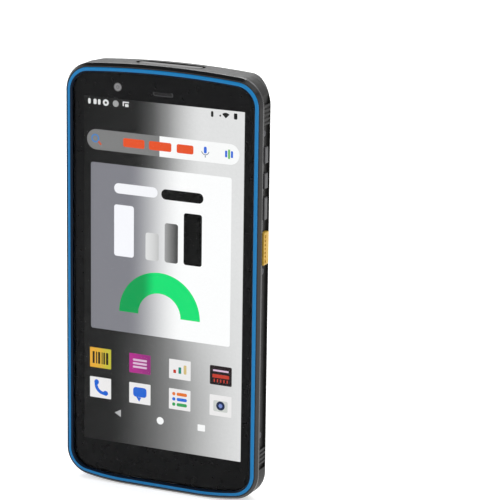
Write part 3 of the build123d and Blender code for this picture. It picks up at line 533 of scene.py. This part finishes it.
def loop_shell(name, rows, mats, row_mats=None, smooth=True):
    """A closed shell through loops of the same number of points, each given as points and a depth."""
    count = len(rows[0][0])
    verts = [(x, y_at(depth), z) for points, depth in rows for x, z in points]
    faces = []
    indices = []
    for i in range(len(rows)):
        nxt = (i + 1) % len(rows)
        for k in range(count):
            other = (k + 1) % count
            faces.append((i * count + k, i * count + other, nxt * count + other, nxt * count + k))
            indices.append(row_mats[i] if row_mats else 0)
    return make_object(name, verts, faces, mats, indices, smooth)


def lathe(name, centre, axis, rings, mats, face_mats=None, lobes=()):
    """Rings of (radius, height along the axis) turned about a point, with a cap on each end.

    Rings named in lobes get the wavy outline of a screw's socket.
    """
    segments = 48
    verts = []
    for index, (radius, rise) in enumerate(rings):
        for k in range(segments):
            angle = 2 * math.pi * k / segments
            size = radius
            if index in lobes:
                size = radius * (1 + LOBE_SHARE * math.cos(SOCKET_LOBES * angle))
            a = size * math.cos(angle)
            b = size * math.sin(angle)
            if axis[0]:
                verts.append((centre[0] + axis[0] * rise, centre[1] + a, centre[2] + b))
            else:
                verts.append((centre[0] + a, centre[1] + axis[1] * rise, centre[2] + b))
    faces = []
    indices = []
    for i in range(len(rings) - 1):
        for k in range(segments):
            other = (k + 1) % segments
            faces.append((i * segments + k, i * segments + other, (i + 1) * segments + other,
                          (i + 1) * segments + k))
            indices.append(face_mats[i] if face_mats else 0)
    faces.append(tuple(range(segments))[::-1])
    faces.append(tuple((len(rings) - 1) * segments + k for k in range(segments)))
    indices += [indices[0], indices[-1]]
    return make_object(name, verts, faces, mats, indices)


def ellipse(x, z, half_x, half_z, start=0.0, end=360.0, steps=40):
    """Points of an ellipse or of a part of it."""
    count = steps if end - start >= 360 else steps + 1
    return [(x + half_x * math.cos(math.radians(start + (end - start) * i / steps)),
             z + half_z * math.sin(math.radians(start + (end - start) * i / steps))) for i in range(count)]


def rounded(x, z, width, height, radius, steps=6):
    """Points of a rounded oblong about its centre."""
    points = []
    for sign_x, sign_z, start in ((1, 1, 0), (-1, 1, 90), (-1, -1, 180), (1, -1, 270)):
        cx = x + sign_x * (width / 2 - radius)
        cz = z + sign_z * (height / 2 - radius)
        points += ellipse(cx, cz, radius, radius, start, start + 90, steps)
    return points


def band(x, z, outer, inner, start=0.0, end=360.0):
    """A curved band between two radii, as one run of points out and back."""
    out = ellipse(x, z, outer, outer, start, end)
    back = ellipse(x, z, inner, inner, start, end)
    if end - start >= 360:
        out.append(out[0])
        back.append(back[0])
    return out + back[::-1]


def artwork(name, shapes, depth, mat):
    """Thin flat shapes of the picture, each a run of points about the picture's middle."""
    verts = []
    faces = []
    for points in shapes:
        start = len(verts)
        count = len(points)
        verts += [(PICTURE_X + x, y_at(depth), PICTURE_Z + z) for x, z in points]
        verts += [(PICTURE_X + x, y_at(depth + LAYER_THICKNESS), PICTURE_Z + z) for x, z in points]
        faces.append(tuple(start + k for k in range(count)))
        faces.append(tuple(start + count + k for k in range(count))[::-1])
        for k in range(count):
            other = (k + 1) % count
            faces.append((start + k, start + count + k, start + count + other, start + other))
    piece = make_object(name, verts, faces, [mat], smooth=False)
    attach(piece, "base")
    return piece


# ---- the picture on the display ----

def make_display():
    """The display panel with its dark edge and lit ground, which stands for the CAD panel."""
    low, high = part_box("display_panel")
    half = (high.x - low.x) / 2 / MM
    bottom = low.z / MM
    top = high.z / MM
    edge = [(-half, bottom), (half, bottom), (half, top), (-half, top)]
    lit_low = LIT_Z - LIT_HALF_HEIGHT
    lit_high = LIT_Z + LIT_HALF_HEIGHT
    lit = [(LIT_X - LIT_HALF_WIDTH, lit_low), (LIT_X + LIT_HALF_WIDTH, lit_low),
           (LIT_X + LIT_HALF_WIDTH, lit_high), (LIT_X - LIT_HALF_WIDTH, lit_high)]
    verts = [(x, y_at(PANEL_LAYER), z) for x, z in edge + lit]
    verts += [(x, y_at(DISPLAY_BACK), z) for x, z in edge]
    faces = [(4, 5, 6, 7)]
    indices = [1]
    for k in range(4):
        other = (k + 1) % 4
        faces.append((k, other, 4 + other, 4 + k))
        faces.append((k, 8 + k, 8 + other, other))
        indices += [0, 0]
    faces.append((8, 11, 10, 9))
    indices.append(0)
    edge_black = plastic("panel_edge", (0.004, 0.004, 0.0045), 0.3, 0.4, 900.0, 0.005)
    panel = make_object("lit_display", verts, faces, [edge_black, wallpaper_material()], indices,
                        smooth=False)
    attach(panel, "base")
    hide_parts("display_panel")


def make_status_bar():
    """Small generic marks along the top of the picture."""
    z = 65.9
    white = [rounded(-31.0, z, 1.1, 2.1, 0.5), rounded(-28.6, z, 1.3, 2.1, 0.5),
             rounded(-26.8, z, 1.1, 2.1, 0.5), band(-24.0, z, 1.25, 0.5),
             rounded(-15.5, z + 0.9, 2.6, 0.5, 0.2), rounded(-16.6, z + 0.2, 0.5, 1.7, 0.2),
             rounded(-15.1, z - 0.3, 1.5, 1.1, 0.3)]
    artwork("status_marks_white", white, FACE_LAYER, lit_material("mark_white", srgb(225, 225, 225)))
    artwork("status_mark_grey", [ellipse(-19.8, z, 1.25, 1.25)], FACE_LAYER,
            lit_material("mark_grey", srgb(165, 165, 165)))
    fan = [(26.1, z - 1.1)] + ellipse(26.1, z - 1.1, 2.1, 2.1, 45, 135, 14)
    dark = [rounded(20.5, z, 1.0, 2.2, 0.45), ellipse(23.8, z - 0.3, 0.35, 0.35, steps=16), fan,
            rounded(30.1, z, 1.4, 2.3, 0.35)]
    artwork("status_marks_dark", dark, FACE_LAYER, lit_material("mark_dark", srgb(25, 25, 25)))


def make_search_bar():
    """The pill-shaped bar, grey at its left and white at its right, with plain marks on it."""
    left_end = -32.0
    grey_end = -1.3
    right_end = 31.9
    half = 3.95
    z = 51.3
    left = [(grey_end, z - half), (grey_end, z + half)]
    left += ellipse(left_end + half, z, half, half, 90, 270, 20)
    right = [(grey_end, z + half), (grey_end, z - half)]
    right += ellipse(right_end - half, z, half, half, -90, 90, 20)
    artwork("bar_grey", [left], FACE_LAYER, lit_material("bar_grey_light", srgb(128, 128, 128)))
    artwork("bar_white", [right], FACE_LAYER, lit_material("bar_white_light", srgb(252, 252, 252)))
    blocks = [rounded(x, z, width, 3.4, 0.7) for x, width in ((-12.1, 9.0), (-1.0, 9.4), (9.4, 7.0))]
    artwork("bar_blocks", blocks, MARK_LAYER, lit_material("block_orange", srgb(232, 84, 42)))
    artwork("bar_mark_blue", [rounded(17.8, z + 0.6, 1.2, 2.6, 0.55), rounded(26.4, z, 0.9, 2.6, 0.3),
                              rounded(28.8, z, 0.9, 2.6, 0.3)],
            MARK_LAYER, lit_material("mark_blue", srgb(60, 110, 220)))
    stand = [band(17.8, z + 0.3, 1.7, 1.35, 190, 350), rounded(17.8, z - 1.9, 0.4, 0.8, 0.15)]
    artwork("bar_mark_grey", stand, MARK_LAYER, lit_material("mark_slate", srgb(140, 150, 165)))
    artwork("bar_mark_green", [rounded(27.6, z, 0.9, 3.6, 0.3)], MARK_LAYER,
            lit_material("mark_green", srgb(120, 190, 110)))
    artwork("bar_mark_glass", [band(-28.5, z + 0.4, 1.7, 1.1)], MARK_LAYER,
            lit_material("mark_cool", srgb(80, 130, 190)))
    handle = [(-27.5, z - 0.9), (-27.0, z - 0.4), (-25.7, z - 1.7), (-26.2, z - 2.2)]
    artwork("bar_mark_handle", [handle], MARK_LAYER, lit_material("mark_warm", srgb(205, 90, 60)))


def make_card():
    """The large card with a plain chart: two bars of a caption, four columns and a gauge."""
    card = rounded(-0.8, 9.5, 59.2, 65.8, 0.9)
    artwork("card", [card], FACE_LAYER,
            lit_material("card_light", srgb(130, 130, 137), srgb(255, 255, 255), -15.0, 9.0))
    artwork("caption_white", [rounded(-11.2, 33.2, 18.4, 4.0, 1.9)], MARK_LAYER,
            lit_material("caption_white_light", srgb(248, 248, 252)))
    artwork("caption_black", [rounded(8.4, 33.0, 17.6, 4.0, 1.9)], MARK_LAYER,
            lit_material("caption_black_light", srgb(8, 8, 8)))
    artwork("column_white", [rounded(-16.2, 16.7, 8.4, 20.2, 1.0)], MARK_LAYER,
            lit_material("column_white_light", srgb(250, 250, 255)))
    columns = [rounded(-4.2, 11.9, 5.6, 10.8, 1.0), rounded(3.9, 14.2, 5.6, 15.4, 1.0),
               rounded(12.9, 16.6, 7.6, 20.2, 1.0)]
    artwork("columns_dark", columns, MARK_LAYER,
            lit_material("column_dark_light", srgb(225, 225, 225), srgb(3, 3, 3), -7.5, 9.0))
    gauge = band(-1.0, -15.2, 17.2, 9.0, 0, 180)
    artwork("gauge", [gauge], MARK_LAYER,
            lit_material("gauge_green", srgb(8, 160, 82), srgb(18, 226, 118), -9.0, -2.5))


def make_tiles():
    """Two rows of four tiles with plain generic marks."""
    xs = (-26.3, -9.2, 7.9, 25.2)
    high = -35.3
    low = -47.3
    wide = 9.2
    artwork("tile_amber", [rounded(xs[0], high, wide, 8.0, 0.3)], FACE_LAYER,
            lit_material("tile_amber_light", srgb(232, 172, 60), srgb(196, 190, 60), -30.0, -22.0))
    artwork("tile_magenta", [rounded(xs[1], high, wide, 7.8, 0.3)], FACE_LAYER,
            lit_material("tile_magenta_light", srgb(178, 50, 140), srgb(150, 50, 125), -13.0, -5.0))
    whites = [rounded(xs[2], high, wide, 7.8, 0.3)] + [rounded(x, low, wide, 8.3, 0.3) for x in xs]
    artwork("tiles_white", whites, FACE_LAYER, lit_material("tile_white_light", srgb(238, 236, 236)))
    artwork("tile_black", [rounded(xs[3], high, wide, 7.6, 0.5)], FACE_LAYER,
            lit_material("tile_black_light", srgb(38, 30, 32)))
    bars = ((-3.0, 0.9), (-1.7, 0.5), (-0.6, 0.9), (0.7, 0.4), (1.6, 0.7), (2.9, 1.0))
    artwork("tile_marks_black", [rounded(xs[0] + x, high, width, 4.8, 0.15) for x, width in bars],
            MARK_LAYER, lit_material("tile_black_mark", srgb(40, 34, 22)))
    lines = [rounded(xs[1], high + shift, 6.0, 0.8, 0.3) for shift in (1.4, 0.0, -1.4)]
    artwork("tile_marks_pale", lines + [rounded(xs[3], high + 1.9, 6.6, 0.7, 0.3)], MARK_LAYER,
            lit_material("tile_pale_mark", srgb(222, 190, 216)))
    reds = [rounded(xs[3], high - 0.3, 7.0, 1.4, 0.3), rounded(xs[2] - 2.2, high - 0.9, 1.2, 1.4, 0.3)]
    reds += [rounded(xs[3] - 2.7 + 1.35 * i, high - 2.1, 0.5, 1.3, 0.2) for i in range(5)]
    artwork("tile_marks_red", reds, MARK_LAYER, lit_material("tile_red_mark", srgb(196, 62, 48)))
    artwork("tile_marks_teal", [rounded(xs[2], high - 0.3, 1.2, 2.6, 0.3)], MARK_LAYER,
            lit_material("tile_teal_mark", srgb(40, 140, 120)))
    artwork("tile_marks_sand", [rounded(xs[2] + 2.2, high + 0.2, 1.2, 3.6, 0.3)], MARK_LAYER,
            lit_material("tile_sand_mark", srgb(214, 190, 130)))
    handset = [band(xs[0] + 1.6, low + 1.4, 4.2, 2.9, 165, 285),
               ellipse(xs[0] - 1.7, low + 2.1, 1.0, 1.1, steps=20),
               ellipse(xs[0] + 2.2, low - 2.0, 1.1, 1.0, steps=20)]
    bubble = [rounded(xs[1], low + 0.5, 5.8, 3.9, 1.2),
              [(xs[1] - 1.6, low - 1.4), (xs[1] + 0.6, low - 1.6), (xs[1] - 0.3, low - 3.3)]]
    artwork("tile_marks_blue", handset + bubble, MARK_LAYER,
            lit_material("tile_blue_mark", srgb(40, 102, 210)))
    for name, shift, colour in (("orange", 2.1, srgb(228, 118, 52)), ("azure", 0.0, srgb(52, 110, 215)),
                                ("green", -2.1, srgb(58, 160, 90))):
        line = [rounded(xs[2] + 0.9, low + shift, 4.4, 1.3, 0.6),
                ellipse(xs[2] - 2.5, low + shift, 0.7, 0.7, steps=16)]
        artwork("tile_list_" + name, line, MARK_LAYER, lit_material("tile_%s_mark" % name, colour))
    artwork("tile_camera_body", [rounded(xs[3], low - 0.2, 6.0, 4.4, 0.6)], MARK_LAYER,
            lit_material("tile_camera_grey", srgb(205, 208, 204)))
    artwork("tile_camera_lens", [ellipse(xs[3], low, 1.8, 1.8, steps=28)], LENS_LAYER,
            lit_material("tile_lens_navy", srgb(34, 46, 78)))
    artwork("tile_camera_glint", [ellipse(xs[3], low, 0.8, 0.8, steps=20)], GLINT_LAYER,
            lit_material("tile_lens_glint", srgb(120, 140, 205)))


def make_controls():
    """The three plain marks along the bottom of the picture."""
    artwork("control_back", [[(-20.1, -56.5), (-17.4, -55.0), (-17.4, -58.0)]], FACE_LAYER,
            lit_material("control_grey", srgb(182, 182, 182)))
    artwork("control_others", [ellipse(-0.4, -57.0, 1.5, 1.5), rounded(17.2, -57.3, 3.2, 2.6, 0.25)],
            FACE_LAYER, lit_material("control_white", srgb(250, 250, 250)))


# ---- glass border, ring and small fittings ----

def make_glass_border():
    """The black print round the display, just inside the back of the glass."""
    past_ring = RING_WIDTH + 0.15
    outer = outline_points(RING_SIDE_INSET + past_ring, RING_END_INSET + past_ring)
    low_x = LIT_X - LIT_HALF_WIDTH
    high_x = LIT_X + LIT_HALF_WIDTH
    low_z = LIT_Z - LIT_HALF_HEIGHT
    high_z = LIT_Z + LIT_HALF_HEIGHT
    inner = [(min(max(x, low_x), high_x), min(max(z, low_z), high_z)) for x, z in outer]
    mat, tree, bsdf = new_material("border_print")
    speckle(tree, bsdf, (0.003, 0.003, 0.0034), 0.3, 400.0)
    rough_range(tree, bsdf, 0.03, 0.06, 300.0)
    bsdf.inputs["Specular IOR Level"].default_value = GLASS_GLOSS
    front = GLASS_BACK - 0.02
    back = GLASS_BACK - 0.01
    rows = [(outer, front), (inner, front), (inner, back), (outer, back)]
    border = loop_shell("glass_border", rows, [mat], smooth=False)
    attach(border, "base")


def make_ring():
    """The raised ring: a blue crown with soft edges; its outer wall and inner slope take a navy painted
    shade, which on the inner slope also stands for the dark glass reflected there.

    The section runs from the outer foot over the crown to the inner foot, as (inset, depth).
    """
    section = [(0.0, RING_SEAT), (0.0, 0.76), (0.03, 0.64), (0.13, 0.5), (0.48, 0.14), (0.61, 0.04),
               (0.78, 0.0), (1.3, 0.0), (1.42, 0.03), (1.52, 0.12), (1.97, 0.56), (2.07, 0.66),
               (RING_WIDTH, 0.78), (RING_WIDTH, RING_SEAT)]
    rows = [(outline_points(RING_SIDE_INSET + inset, RING_END_INSET + inset), depth)
            for inset, depth in section]
    blue_from = 0.1
    blue_to = 1.35
    # Faces outside the crown get the navy copy of the blue: painted shade, and on the inner slope a painted
    # reflection of the dark glass.
    row_mats = [0 if blue_from < inset < blue_to else 1 for inset, _ in section]
    ring = loop_shell("ring_trim", rows, [blue_material("ring_blue", srgb(6, 128, 194)),
                                          blue_material("ring_navy_painted_shade", srgb(0, 18, 38), 0.15)], row_mats)
    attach(ring, "base")
    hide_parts("front_ring")


def make_front_camera():
    """The small camera behind the glass, drawn in painted light: a grey disc with a pale inner ring and a
    coated lens, each a glow standing in for the light they catch.
    """
    # Painted light: the disc, ring and lens glow with fixed greys in place of being lit.
    disc = lit_material("front_lens_disc_painted_glow", srgb(104, 103, 104))
    pale = lit_material("front_lens_ring_painted_glow", srgb(150, 150, 150))
    coated = lit_material("front_lens_glass_painted_glow", srgb(128, 126, 130))
    rings = [(1.65, 0.0), (1.65, 0.05), (1.3, 0.06), (1.1, 0.09), (0.8, 0.09), (0.7, 0.04), (0.45, 0.08),
             (0.2, 0.1)]
    centre = (FRONT_CAMERA_X, y_at(GLASS_BACK - 0.03), FRONT_CAMERA_Z)
    lens = lathe("front_lens", centre, (0, -1, 0), rings, [disc, pale, coated], [0, 0, 1, 2, 1, 0, 2])
    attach(lens, "base")


def make_earpiece():
    """The earpiece's woven mesh in its slot, with the pale rim of the slot as a grey painted glow."""
    length = 8.3
    height = 1.6
    end_radius = height / 2
    pitch = 0.32
    half = 0.055
    middle = GLASS_BACK - 0.2
    count = int(length / pitch)
    rows_of_wire = 5
    wires = []
    for i in range(count + 1):
        x = -count * pitch / 2 + i * pitch
        reach = end_radius - 0.1
        past = abs(x) - (length / 2 - end_radius)
        if past > 0:
            reach = math.sqrt(max(end_radius ** 2 - past ** 2, 0.01)) - 0.08
        if reach > 0.05:
            wires.append((x - half, x + half, EARPIECE_Z - reach, EARPIECE_Z + reach, middle))
    for i in range(rows_of_wire):
        step = i - rows_of_wire // 2
        z = EARPIECE_Z + step * pitch
        reach = length / 2 - 0.25 - 0.1 * abs(step)
        wires.append((-reach, reach, z - half, z + half, middle + 0.06))
    verts = []
    faces = []
    for x_low, x_high, z_low, z_high, depth in wires:
        start = len(verts)
        for d in (depth - half, depth + half):
            verts += [(x_low, y_at(d), z_low), (x_high, y_at(d), z_low), (x_high, y_at(d), z_high),
                      (x_low, y_at(d), z_high)]
        faces += [tuple(start + k for k in f) for f in
                  ((0, 1, 2, 3), (7, 6, 5, 4), (0, 4, 5, 1), (1, 5, 6, 2), (2, 6, 7, 3), (3, 7, 4, 0))]
    wire_metal = metal("mesh_metal", (0.05, 0.05, 0.052), 0.4, 0.5)
    mesh = make_object("earpiece_weave", verts, faces, [wire_metal], smooth=False)
    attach(mesh, "base")
    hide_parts("earpiece_mesh")
    rim_width = 0.2
    outer_radius = end_radius - 0.01
    outer = rounded(0.0, EARPIECE_Z, length, height, outer_radius)
    inner = rounded(0.0, EARPIECE_Z, length - 2 * rim_width, height - 2 * rim_width, outer_radius - rim_width)
    front = middle - 0.16
    back = front + 0.06
    rows = [(outer, front), (inner, front), (inner, back), (outer, back)]
    # Painted light: the rim glows a fixed grey in place of being lit.
    rim = loop_shell("earpiece_rim", rows, [lit_material("earpiece_rim_painted_glow", srgb(84, 84, 86))])
    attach(rim, "base")


def make_screws():
    """The six side screws with chamfered heads and lobed sockets."""
    steel = metal("screw_black_steel", (0.13, 0.13, 0.14), 0.3, 0.45)
    head = 1.27
    rings = [(0.75, -3.6), (0.77, -0.6), (head, -0.6), (head, -0.12), (head - 0.12, 0.0), (0.72, 0.0),
             (0.62, -0.02), (0.6, -0.4), (0.1, -0.42)]
    socket_rings = (6, 7)
    for word, side in (("right", 1), ("left", -1)):
        for index, z in enumerate(SCREW_ZS):
            centre = (side * CHANNEL_FLOOR, y_at(SCREW_DEPTH), z)
            screw = lathe("screw_%s_%d" % (word, index + 1), centre, (side, 0, 0), rings, [steel],
                          lobes=socket_rings)
            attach(screw, "base")
            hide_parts("side_screws")


def make_window_painted_shade():
    """A black band round the scan window's face, inside its recess: painted shade for the recess walls and
    the gap round the window.
    """
    low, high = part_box("scan_window")
    middle = (low.y + high.y) / 2 / MM
    length = (high.x - low.x) / MM
    width = (high.y - low.y) / MM
    gap = 0.03
    end_shade = 1.0
    side_shade = 1.3
    outer = rounded(0.0, middle, length - 2 * gap, width - 2 * gap, 2.9)
    inner = rounded(0.0, middle, length - 2 * end_shade, width - 2 * side_shade, 1.6)
    lower = high.z / MM + 0.02
    upper = lower + 0.04
    rows = ((outer, upper), (inner, upper), (inner, lower), (outer, lower))
    verts = [(x, y, z) for points, z in rows for x, y in points]
    count = len(outer)
    faces = [(i * count + k, i * count + (k + 1) % count, (i + 1) % 4 * count + (k + 1) % count,
              (i + 1) % 4 * count + k) for i in range(4) for k in range(count)]
    # Painted shade: a flat black with no reflection, standing in for the shaded walls of the recess.
    black = plastic("window_rim_painted_shade", (0.01, 0.01, 0.01), 0.45, 0.6, 900.0, 0.005, sheen=0.0)
    rim = make_object("scan_window_painted_shade", verts, faces, [black], smooth=False)
    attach(rim, "base")


def make_lenses():
    """The two rear lenses: stepped black barrels and coated domes, inside the bright rings."""
    black = plastic("lens_barrel_black", (0.004, 0.004, 0.005), 0.35, 0.5, 3000.0, 0.01, sheen=0.15)
    coated = dark_glass("lens_coating", (0.01, 0.008, 0.014), 0.15, 0.3)
    rings = [(2.22, 0.0), (2.22, 0.2), (1.95, 0.22), (1.8, 0.08), (1.45, 0.06), (1.4, 0.14), (1.2, 0.2),
             (0.8, 0.26), (0.4, 0.28), (0.1, 0.285)]
    for name, side in (("lens_right", 1), ("lens_left", -1)):
        centre = (side * LENS_X, y_at(REAR_GLASS), CAMERA_Z)
        lens = lathe(name, centre, (0, 1, 0), rings, [black, coated], [0, 0, 0, 0, 0, 1, 1, 1, 1])
        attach(lens, "base")


def make_flash():
    """The flash's ridged lens between the rear lenses: a yellow lamp and a dark half beside it."""
    clear, tree, bsdf = new_material("flash_plastic")
    yellow = speckle(tree, bsdf, srgb(226, 214, 110), 0.08, 900.0)
    dark_half = smooth_step(tree, place_axes(tree)[0], 0.1 * MM, 0.6 * MM)
    tree.links.new(mix_colours(tree, dark_half, yellow, srgb(74, 66, 40)), bsdf.inputs["Base Color"])
    rough_range(tree, bsdf, 0.2, 0.3, 500.0)
    bsdf.inputs["Coat Weight"].default_value = 0.3
    valley = 0.1
    ridge = 0.17
    ridge_pitch = 0.2
    rings = [(1.45, 0.0), (1.45, valley), (1.35, 0.16)]
    radius = 1.25
    while radius > 0.3:
        rings += [(radius, valley), (radius - 0.05, ridge)]
        radius -= ridge_pitch
    rings.append((0.08, ridge))
    flash = lathe("flash_lens", (0.0, y_at(REAR_GLASS), CAMERA_Z), (0, 1, 0), rings, [clear])
    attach(flash, "base")


# ---- dress the carried-over solids ----

def dress():
    """New materials for every solid that stays."""
    housing = housing_material()
    front_black = plastic("front_black", (0.004, 0.004, 0.005), 0.2, 0.3, 1800.0, 0.01, sheen=0.45)
    blue = blue_material("inlay_blue", srgb(4, 114, 174), 0.2)
    film = plastic("label_film", (0.011, 0.011, 0.0105), 0.22, 0.3, 900.0, 0.01, sheen=0.2)
    seal = plastic("seal_rubber", (0.03, 0.03, 0.03), 0.7, 0.85, 1500.0, 0.03)
    chassis = metal("chassis_cast", (0.5, 0.51, 0.53), 0.45, 0.6)
    board = plastic("board_mask", (0.012, 0.09, 0.045), 0.3, 0.45, 700.0, 0.02)
    sheet = metal("sheet_metal_plain", (0.55, 0.55, 0.55), 0.3, 0.42)
    wrap = plastic("battery_film", (0.06, 0.06, 0.07), 0.35, 0.5, 500.0, 0.03)
    flex = plastic("flex_amber", (0.4, 0.18, 0.03), 0.3, 0.4, 600.0, 0.01)
    window = dark_glass("window_dark_red", (0.012, 0.004, 0.005), 0.0)
    camera_glass = dark_glass("camera_window_black", (0.0008, 0.0008, 0.001), 0.0, 0.04)
    module = plastic("module_plastic", (0.012, 0.012, 0.013), 0.4, 0.55)
    chrome = metal("ring_chrome", (0.78, 0.79, 0.81), 0.12, 0.2, 900.0)
    flash = plastic("flash_body", srgb(205, 200, 120), 0.3, 0.4)
    pin = metal("pin_steel", (0.4, 0.4, 0.41), 0.3, 0.4)
    eyelet = plastic("eyelet_blue_plastic", srgb(60, 112, 160), 0.35, 0.5, 1500.0, 0.015)
    door = plastic("door_grey", (0.085, 0.085, 0.09), 0.45, 0.6, 2600.0, 0.02)
    key = plastic("key_grey", (0.045, 0.045, 0.048), 0.3, 0.45, 2600.0, 0.02, sheen=0.35)
    amber = plastic("amber_key", srgb(214, 172, 62), 0.35, 0.5, 1800.0, 0.015)
    finishes = {
        "housing": housing, "front_housing": front_black, "blue_trim": blue, "label": film,
        "screen_glass": clear_glass(), "seal": seal, "chassis": chassis, "circuit_board": board,
        "sheet_metal": sheet, "battery_wrap": wrap, "flex_film": flex, "module_black": module,
        "bright_ring": chrome, "flash_lens": flash, "screw_steel": pin, "eyelet_blue": eyelet,
        "door_plastic": door, "key_plastic": key, "amber_plastic": amber, "display": front_black,
        "dark_window": camera_glass,
    }
    for part in frame["record"]["subparts"]:
        mat = window if part["node"] == "scan_window" else finishes[part["material_slot"]]
        piece = NODES[part["node"]]
        if not piece.material_slots:
            piece.data.materials.append(mat)
        for slot in piece.material_slots:
            slot.material = mat


# ---- the whole scene ----

make_camera()
make_world()
make_floor()
make_lights()
dress()
make_display()
make_status_bar()
make_search_bar()
make_card()
make_tiles()
make_controls()
make_glass_border()
make_ring()
make_front_camera()
make_earpiece()
make_screws()
make_window_painted_shade()
make_lenses()
make_flash()

view = bpy.context.scene.view_settings
view.view_transform = "Standard"
